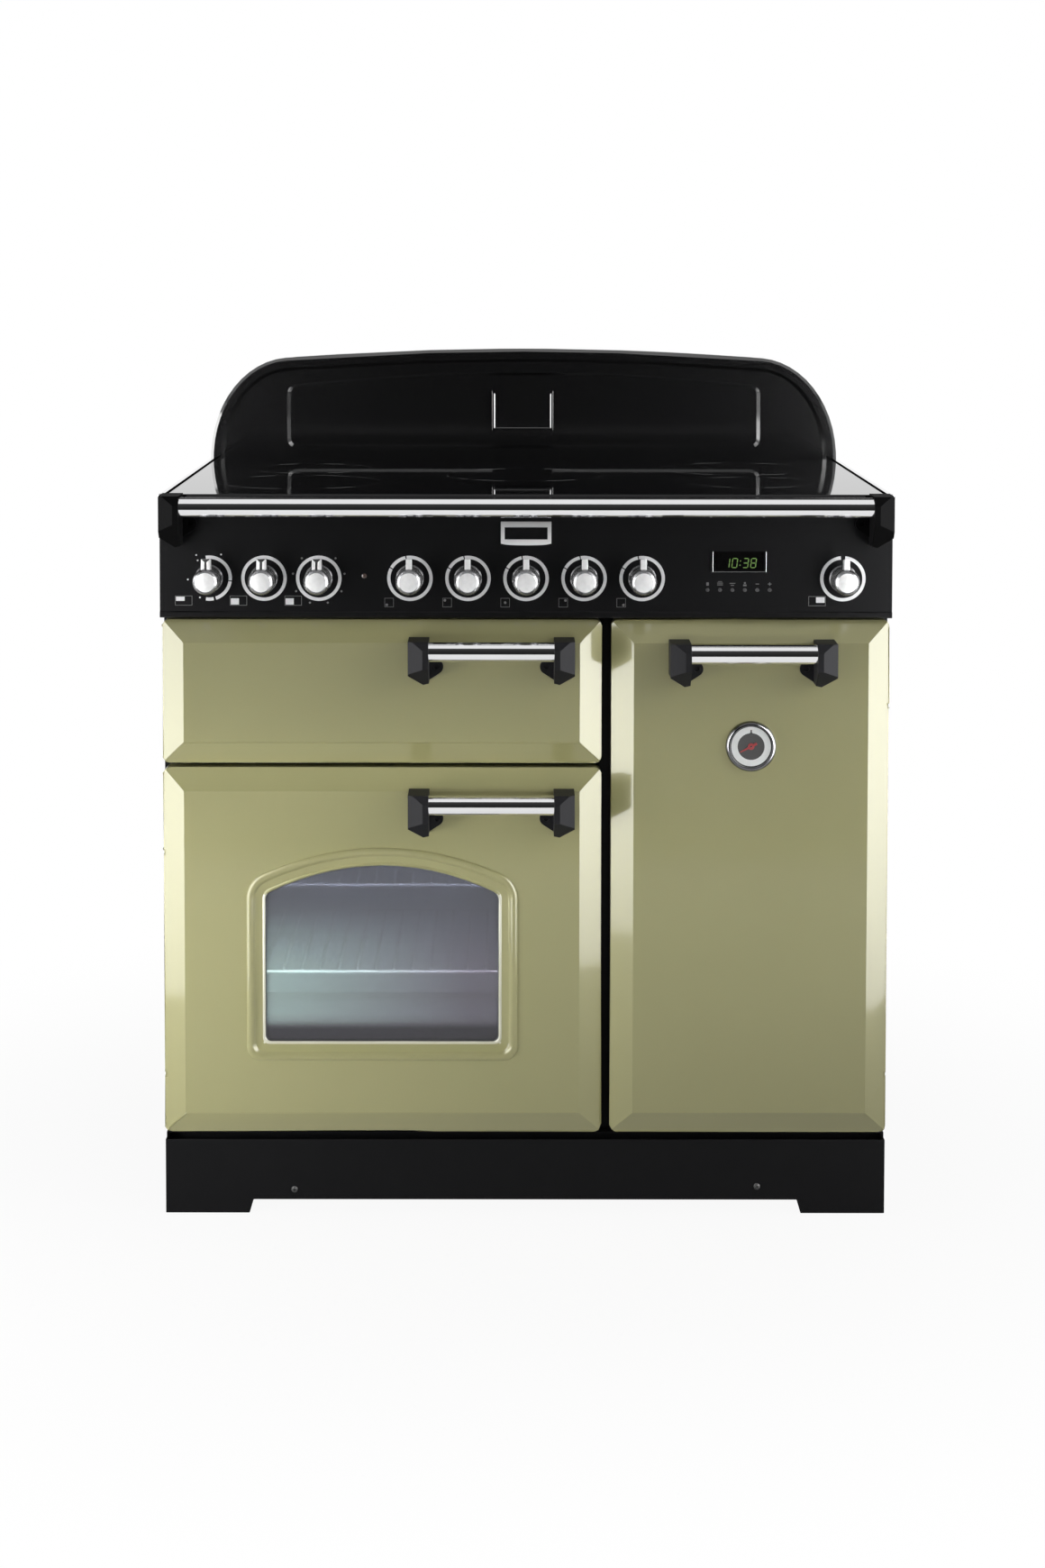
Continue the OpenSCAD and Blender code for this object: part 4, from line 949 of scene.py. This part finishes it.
# A darker copy of the polished chrome: painted shade that dims the knobs' reflections
shaded_knob_chrome = Surface("shaded_knob_chrome", {"Metallic": 0.8, "Roughness": 0.24})
shaded_knob_chrome.mottle(90.0, 3.0, (0.16, 0.16, 0.165), (0.26, 0.26, 0.265))
groove_black = Surface("groove_black", {"Roughness": 0.35})
groove_black.mottle(200.0, 2.0, (0.01, 0.01, 0.01), (0.016, 0.016, 0.016))


def turn_up(name, x, y, z, profile, sides=64):
    """Turns a profile of radius and reach: a disc drawn forwards and resized step by step."""
    deselect()
    bpy.ops.mesh.primitive_circle_add(
        vertices=sides, radius=profile[0][0], fill_type="NGON",
        location=(x, y - profile[0][1], z), rotation=(math.pi / 2, 0, 0)
    )
    piece = settle(name)
    pick(piece, "FACE", lambda face: True)
    for (radius, reach), (wider, further) in zip(profile, profile[1:]):
        extrude(0, reach - further, 0)
        ratio = wider / radius
        bpy.ops.transform.resize(value=(ratio, 1, ratio), center_override=(x, y - further, z))
    turn_outwards()
    return piece


def knob(name, wide, grooved):
    x = knob_x[name]
    hub = turn_up(name + "_turned", x, knob_foot, knob_height, knob_profile)
    hub.data.materials.append(shaded_knob_chrome.material)
    hub.data.materials.append(satin_metal.material)
    for face in hub.data.polygons:
        off = math.hypot(face.center.x - x, face.center.z - knob_height)
        face.material_index = int(face.normal.y < -0.8 and off < dome_radius)
    low = (x - wide / 2, pointer_front, pointer_low)
    pointer = block("pointer", low, (x + wide / 2, pointer_back, pointer_high))
    for y, step in tip_steps.items():
        pick(pointer, "VERT", lambda corner: corner.co.z > pointer_high - near
             and abs(corner.co.y - y) < near)
        bpy.ops.transform.translate(value=step)
        leave()
    pointer.data.materials.append(satin_metal.material)
    pointer.data.materials.append(groove_black.material)
    if grooved:
        pick(pointer, "FACE", faces_front)
        bpy.ops.mesh.inset(thickness=wide * groove_frame)
        extrude(0, groove_depth, 0)
        leave()
        for face in pointer.data.polygons:
            inside = abs(face.center.x - x) < wide * groove_half and face.center.z > groove_low
            face.material_index = int(inside and face.center.y < groove_back)
    round_edges(pointer, 0.0004, 2, 25)
    piece = join(hub, pointer)
    shade(piece, 35)
    dress(piece, shaded_knob_chrome, "polished_chrome", name, name)


for name in oven_knobs:
    knob(name, 0.0110, True)
for name in (*hob_knobs, tall_knob):
    knob(name, 0.0070, False)

# Clock, buttons and lamp
# A black glass window between chromed side bars, with lit green digits behind it, six small push
# buttons below, and a neon lamp beside the oven knobs.
clock_z = 0.8165
clock_w = 0.0650
clock_h = 0.0250
clock_glass = copy_node("clock_window", "clock_display")
round_edges(clock_glass, 0.0004, 2, 40)
shade(clock_glass)
display_glass = Surface("display_glass", {"Roughness": 0.06, "Specular IOR Level": 0.3})
display_glass.mottle(200.0, 2.0, (0.003, 0.003, 0.003), (0.005, 0.005, 0.005))
dress(clock_glass, display_glass, "black_plastic", "carcass", "clock_display")
window_face = panel_face - 0.002
bar_back = window_face + 0.001
side_bar_w = 0.0018
foot_bar_h = 0.0009
foot_bar_z = clock_z - clock_h / 2 + foot_bar_h / 2
trim_bars = [upright("bar", clock_x, foot_bar_z, clock_w, foot_bar_h, window_face - 0.0006, bar_back)]
for x in (clock_x - clock_w / 2, clock_x + clock_w / 2):
    trim_bars.append(upright("bar", x, clock_z, side_bar_w, clock_h, window_face - 0.0008, bar_back))
clock_trim = join(*trim_bars)
clock_trim.name = "clock_trim"
round_edges(clock_trim, 0.0002, 2, 25)
shade(clock_trim)
dress(clock_trim, polished_chrome, "polished_chrome", "carcass")

lit_green = Surface("lit_green", {
    "Base Color": (0.01, 0.03, 0.01, 1), "Roughness": 0.4, "Emission Strength": 1.0,
})
lit_green.mottle(800.0, 1.0, (0.085, 0.15, 0.018), (0.12, 0.21, 0.030), "Emission Color")
digit_z = 0.8149
digit_h = 0.0112
digit_w = 0.0060
digit_line = 0.0010
digit_lift = 0.0002
digit_lean = 0.12
colon_x = clock_x + 0.0016
colon_step = 0.0026
segment_sets = {"0": "abcdef", "1": "bc", "3": "abcdg", "8": "abcdefg"}


def segment(x, letter):
    """One lit bar of a digit: a thin plate with its corners cut off."""
    across = letter in "agd"
    rise = {"a": 0.5, "b": 0.25, "c": -0.25, "d": -0.5, "e": -0.25, "f": 0.25, "g": 0}[letter] * digit_h
    side = {"b": 0.5, "c": 0.5, "e": -0.5, "f": -0.5}.get(letter, 0) * digit_w
    wide = digit_w - digit_line * 1.2 if across else digit_line
    tall = digit_line if across else digit_h / 2 - digit_line * 0.6
    x, z = x + side, digit_z + rise
    bar = upright("segment", x, z, wide, tall, window_face - digit_lift, window_face + digit_lift)
    pick(bar, "EDGE", runs_back)
    bpy.ops.mesh.bevel(offset=digit_line * 0.35, segments=1, affect="EDGES")
    leave()
    return bar


lit_bars = []
for place, figure in ((-0.0146, "1"), (-0.0051, "0"), (0.0083, "3"), (0.0178, "8")):
    lit_bars += [segment(clock_x + place, letter) for letter in segment_sets[figure]]
for z in (digit_z - colon_step, digit_z + colon_step):
    foot = (colon_x, window_face + digit_lift, z)
    lit_bars.append(rod("colon", foot, (colon_x, window_face - digit_lift, z), 0.0007, 12))
digits = join(*lit_bars)
digits.name = "clock_digits"
for corner in digits.data.vertices:
    corner.co.x += (corner.co.z - digit_z) * digit_lean
dress(digits, lit_green, "pale_plastic", "carcass")

button_plastic = Surface("button_plastic", {"Roughness": 0.35, "Coat Weight": 0.4, "Coat Roughness": 0.1})
button_plastic.mottle(300.0, 2.0, (0.020, 0.020, 0.021), (0.032, 0.032, 0.033))
for number in range(1, 7):
    node = "clock_button_%d" % number
    low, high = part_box(node)
    x, z = box_middle(node)
    reach = high[1] - low[1]
    cap = turn_up(node + "_cap", x, high[1], z, (
        (0.0012, 0.0), (0.0012, 0.0022), (0.0036, 0.0023), (0.0036, 0.0037), (0.0022, 0.0038),
        (0.0022, reach - 0.0005), (0.0018, reach - 0.0001), (0.0012, reach),
    ), 32)
    shade(cap, 35)
    dress(cap, button_plastic, "black_plastic", node, node)

lamp_x, lamp_z = box_middle("indicator_lamp")
lamp_foot = -0.2580
lamp = turn_up("neon_lamp", lamp_x, lamp_foot, lamp_z, (
    (0.0053, 0.0), (0.0053, 0.0099), (0.0032, 0.0100), (0.0032, 0.0125), (0.0026, 0.0134), (0.0012, 0.0139),
), 32)
lamp_lens = Surface("lamp_lens", {"Roughness": 0.2, "Coat Weight": 1.0, "Coat Roughness": 0.03})
lamp_lens.mottle(200.0, 2.0, (0.075, 0.050, 0.042), (0.10, 0.070, 0.060))
shade(lamp, 35)
dress(lamp, lamp_lens, "lamp_lens", "carcass", "indicator_lamp")

# Thermometer
# A round dial in the tall door: chromed bezel, black face with a pale ring, and a red needle that
# turns. Its glass is left out.
gauge_x, gauge_z = box_middle("thermometer")
dial_radius = 0.0252
dial_face = door_face - 0.0034
scale_outer = 0.0243
scale_inner = 0.0165
pin_z = gauge_z + 0.01775
bulb_z = gauge_z + 0.0155
bezel = turn_up("thermometer_bezel", gauge_x, door_face, gauge_z, (
    (0.0240, -0.0160), (0.0240, 0.0), (0.0310, 0.0002), (0.0310, 0.0030), (0.0304, 0.0052), (0.0292, 0.0072),
    (0.0278, 0.0080), (0.0266, 0.0080), (0.0258, 0.0070), (0.0252, 0.0034), (0.0010, 0.0031),
), 96)
# A darker copy of the polished chrome: painted shade that dims the bezel's reflections
shaded_bezel_chrome = Surface("shaded_bezel_chrome", {"Metallic": 1.0, "Roughness": 0.12})
shaded_bezel_chrome.mottle(90.0, 3.0, (0.10, 0.10, 0.105), (0.17, 0.17, 0.175))
bezel.data.materials.append(shaded_bezel_chrome.material)
dial_black = Surface("dial_black", {"Roughness": 0.4})
dial_black.mottle(200.0, 2.0, (0.010, 0.010, 0.010), (0.016, 0.016, 0.016))
bezel.data.materials.append(dial_black.material)
for face in bezel.data.polygons:
    off = math.hypot(face.center.x - gauge_x, face.center.z - gauge_z)
    face.material_index = int(faces_front(face) and off < dial_radius and face.center.y < door_face)
shade(bezel, 35)
dress(bezel, shaded_bezel_chrome, "polished_chrome", "tall_door", "thermometer")
dial_white = Surface("dial_white", {"Roughness": 0.4})
dial_white.mottle(200.0, 2.0, (0.62, 0.64, 0.63), (0.70, 0.72, 0.71))
dial_at = (gauge_x, dial_face, gauge_z)
scale_ring = flat_ring("thermometer_scale", dial_at, scale_outer, scale_inner, 0.0002, "Y", dial_white)
dress(scale_ring, dial_white, "pale_plastic", "tall_door")
stem = upright("thermometer_pin", gauge_x, pin_z, 0.0018, 0.0055, dial_face - 0.0012, dial_face)
bulb = rod("bulb", (gauge_x, dial_face, bulb_z), (gauge_x, dial_face - 0.0014, bulb_z), 0.0022, 24)
pin = join(stem, bulb)
round_edges(pin, 0.0002, 2, 40)
shade(pin)
dress(pin, dial_black, "black_plastic", "tall_door")
needle_red = Surface("needle_red", {"Roughness": 0.35})
needle_red.mottle(200.0, 2.0, (0.24, 0.015, 0.018), (0.30, 0.022, 0.025))
needle = copy_node("dial_needle", "thermometer_needle")
round_edges(needle, 0.00015, 1, 30)
shade(needle)
dress(needle, needle_red, "needle_red", "thermometer_needle", "thermometer_needle")

# Plinth
# A folded steel plinth in satin black, cut away between its two feet, with a screw near each end.
satin_black = Surface("satin_black", {"Roughness": 0.45, "Specular IOR Level": 0.05})
satin_black.mottle(30.0, 3.0, (0.0050, 0.0050, 0.0055), (0.0065, 0.0065, 0.0070))
satin_black.bump(satin_black.noise(700.0, 2.0), 0.00003)
plinth = copy_node("plinth_panel", "plinth")
plinth_low, plinth_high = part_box("plinth")
shadow_gap = 0.006
recess_depth = 0.012
recess_low = (plinth_low[0] - overshoot, plinth_low[1] - overshoot, plinth_high[2] - shadow_gap)
recess_high = (plinth_high[0] + overshoot, plinth_low[1] + recess_depth, plinth_high[2] + overshoot)
carve(plinth, block("recess", recess_low, recess_high))
round_edges(plinth, 0.0008, 2, 30)
shade(plinth)
dress(plinth, satin_black, "black_metal", "carcass", "plinth")
screw_steel = Surface("screw_steel", {"Metallic": 0.2, "Roughness": 0.6})
screw_steel.mottle(300.0, 2.0, (0.008, 0.008, 0.008), (0.03, 0.03, 0.03))
screw_at = {"left": (-0.2865, 0.031), "right": (0.2880, 0.035)}
for side, (x, z) in screw_at.items():
    screw = turn_up("plinth_screw_" + side, x, plinth_low[1] + 0.0005, z, (
        (0.0040, 0.0), (0.0040, 0.0012), (0.0032, 0.0022), (0.0016, 0.0027), (0.0014, 0.0013),
    ), 24)
    shade(screw, 35)
    dress(screw, screw_steel, "black_metal", "carcass")

# Carcass, ovens and working parts
# Folded steel panels, enamelled ovens with their shelves and pan, the hinges, seals, heaters, fan,
# switches and feet. They keep their CAD shapes and take their finishes here; the base frame's black
# and the colours of the shelf wires and the oven window are painted light and shade.
side_paint = Surface("side_paint", {
    "Roughness": 0.5, "Specular IOR Level": 0.0, "Coat Weight": 0.06, "Coat Roughness": 0.2,
})
side_paint.mottle(12.0, 3.0, (0.012, 0.012, 0.013), (0.016, 0.016, 0.017))
side_paint.bump(side_paint.noise(500.0, 2.0), 0.00004)
galvanised = Surface("galvanised", {"Metallic": 1.0, "Roughness": 0.42})
spangle = galvanised.node("ShaderNodeTexVoronoi", {}, {"Vector": galvanised.place(), "Scale": 90.0})
galvanised.drive("Base Color", galvanised.mix(spangle * 1.6, (0.42, 0.43, 0.44, 1), (0.58, 0.59, 0.60, 1)))
galvanised.drive("Roughness", galvanised.noise(60.0, 3.0) * 0.2 + 0.32)
cavity_enamel = Surface("cavity_enamel", {"Roughness": 0.25, "Coat Weight": 0.8, "Coat Roughness": 0.1})
speckle = cavity_enamel.noise(420.0, 2.0) > 0.64
cavity_enamel.drive("Base Color", cavity_enamel.mix(speckle, (0.022, 0.024, 0.030, 1), (0.30, 0.31, 0.33, 1)))
# Painted light: each shelf's front wire is painted bright, as catching the light; painted shade keeps the
# wires behind it nearly black
wire_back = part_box("oven_shelf_lower")[0][1] + 0.007
shelf_chrome = Surface("shelf_chrome", {"Roughness": 0.35, "Specular IOR Level": 0.0})
front_wire = shelf_chrome.across("Y") < wire_back
shelf_chrome.drive("Metallic", front_wire * 0.5)
shaded_wire, lit_wire = (0.006, 0.0065, 0.007, 1), (0.62, 0.62, 0.62, 1)
shelf_chrome.drive("Base Color", shelf_chrome.mix(front_wire, shaded_wire, lit_wire))
seal_rubber = Surface("seal_rubber", {"Roughness": 0.8})
seal_rubber.mottle(200.0, 3.0, (0.03, 0.03, 0.03), (0.05, 0.05, 0.05))
heater = Surface("heater_metal", {"Metallic": 0.8, "Roughness": 0.55})
heater.mottle(50.0, 3.0, (0.10, 0.09, 0.085), (0.20, 0.16, 0.13))
copper = Surface("copper_coil", {"Metallic": 1.0, "Roughness": 0.35})
copper.mottle(300.0, 3.0, (0.55, 0.26, 0.14), (0.68, 0.36, 0.22))
switch_plastic = Surface("switch_plastic", {"Roughness": 0.5})
switch_plastic.mottle(100.0, 2.0, (0.58, 0.56, 0.47), (0.64, 0.62, 0.53))
box_plastic = Surface("box_plastic", {"Roughness": 0.5})
box_plastic.mottle(150.0, 3.0, (0.02, 0.02, 0.02), (0.03, 0.03, 0.03))
# The window's colour is painted light and shade: pale at its left, greyer to the right and upwards, and dark
# along its foot
oven_glass = Surface("oven_glass", {"Roughness": 0.02, "IOR": 1.5, "Transmission Weight": 0.8})
painted_light_slope = (oven_glass.across("X") - (window_x - 0.14)) * 4.0
foot_shade = oven_glass.ease(oven_glass.across("Z"), 0.236, 0.248)
top_shade = oven_glass.ease(oven_glass.across("Z"), 0.29, 0.41)
painted_light = oven_glass.mix(painted_light_slope, (0.66, 0.77, 0.75, 1), (0.38, 0.37, 0.42, 1))
painted_light = oven_glass.mix(top_shade, painted_light, (0.25, 0.26, 0.30, 1))
oven_glass.drive("Base Color", oven_glass.mix(foot_shade, (0.12, 0.115, 0.14, 1), painted_light))

# The oven's own lamp, inside and above the window, lights the shelves
soft_box("oven_lamp", (window_x, -0.17, 0.495), (window_x, -0.14, 0.2), (0.36, 0.05), 52.0)

finishes = {
    side_paint: ("side_panels",),
    # The base frame, seen only in the gap under the doors, is painted satin black as shade in that gap
    satin_black: ("front_frame", "base_frame"),
    galvanised: ("rear_panel", "levelling_feet", "door_hinges", "grill_door_liner", "oven_door_liner",
                 "tall_door_liner", "hob_tray", "oven_fan_cover", "oven_fan", "oven_fan_motor"),
    cavity_enamel: ("grill_cavity", "oven_cavity", "tall_oven_cavity", "grill_pan"),
    shelf_chrome: ("oven_shelf_lower", "oven_shelf_upper"),
    seal_rubber: ("door_seals",),
    heater: ("grill_element",),
    copper: ("heating_coils",),
    switch_plastic: ("control_switches",),
    box_plastic: ("terminal_box",),
    oven_glass: ("oven_door_glass",),
}
for surface, nodes in finishes.items():
    for node in nodes:
        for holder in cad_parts[node].material_slots:
            holder.material = surface.material

low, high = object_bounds()
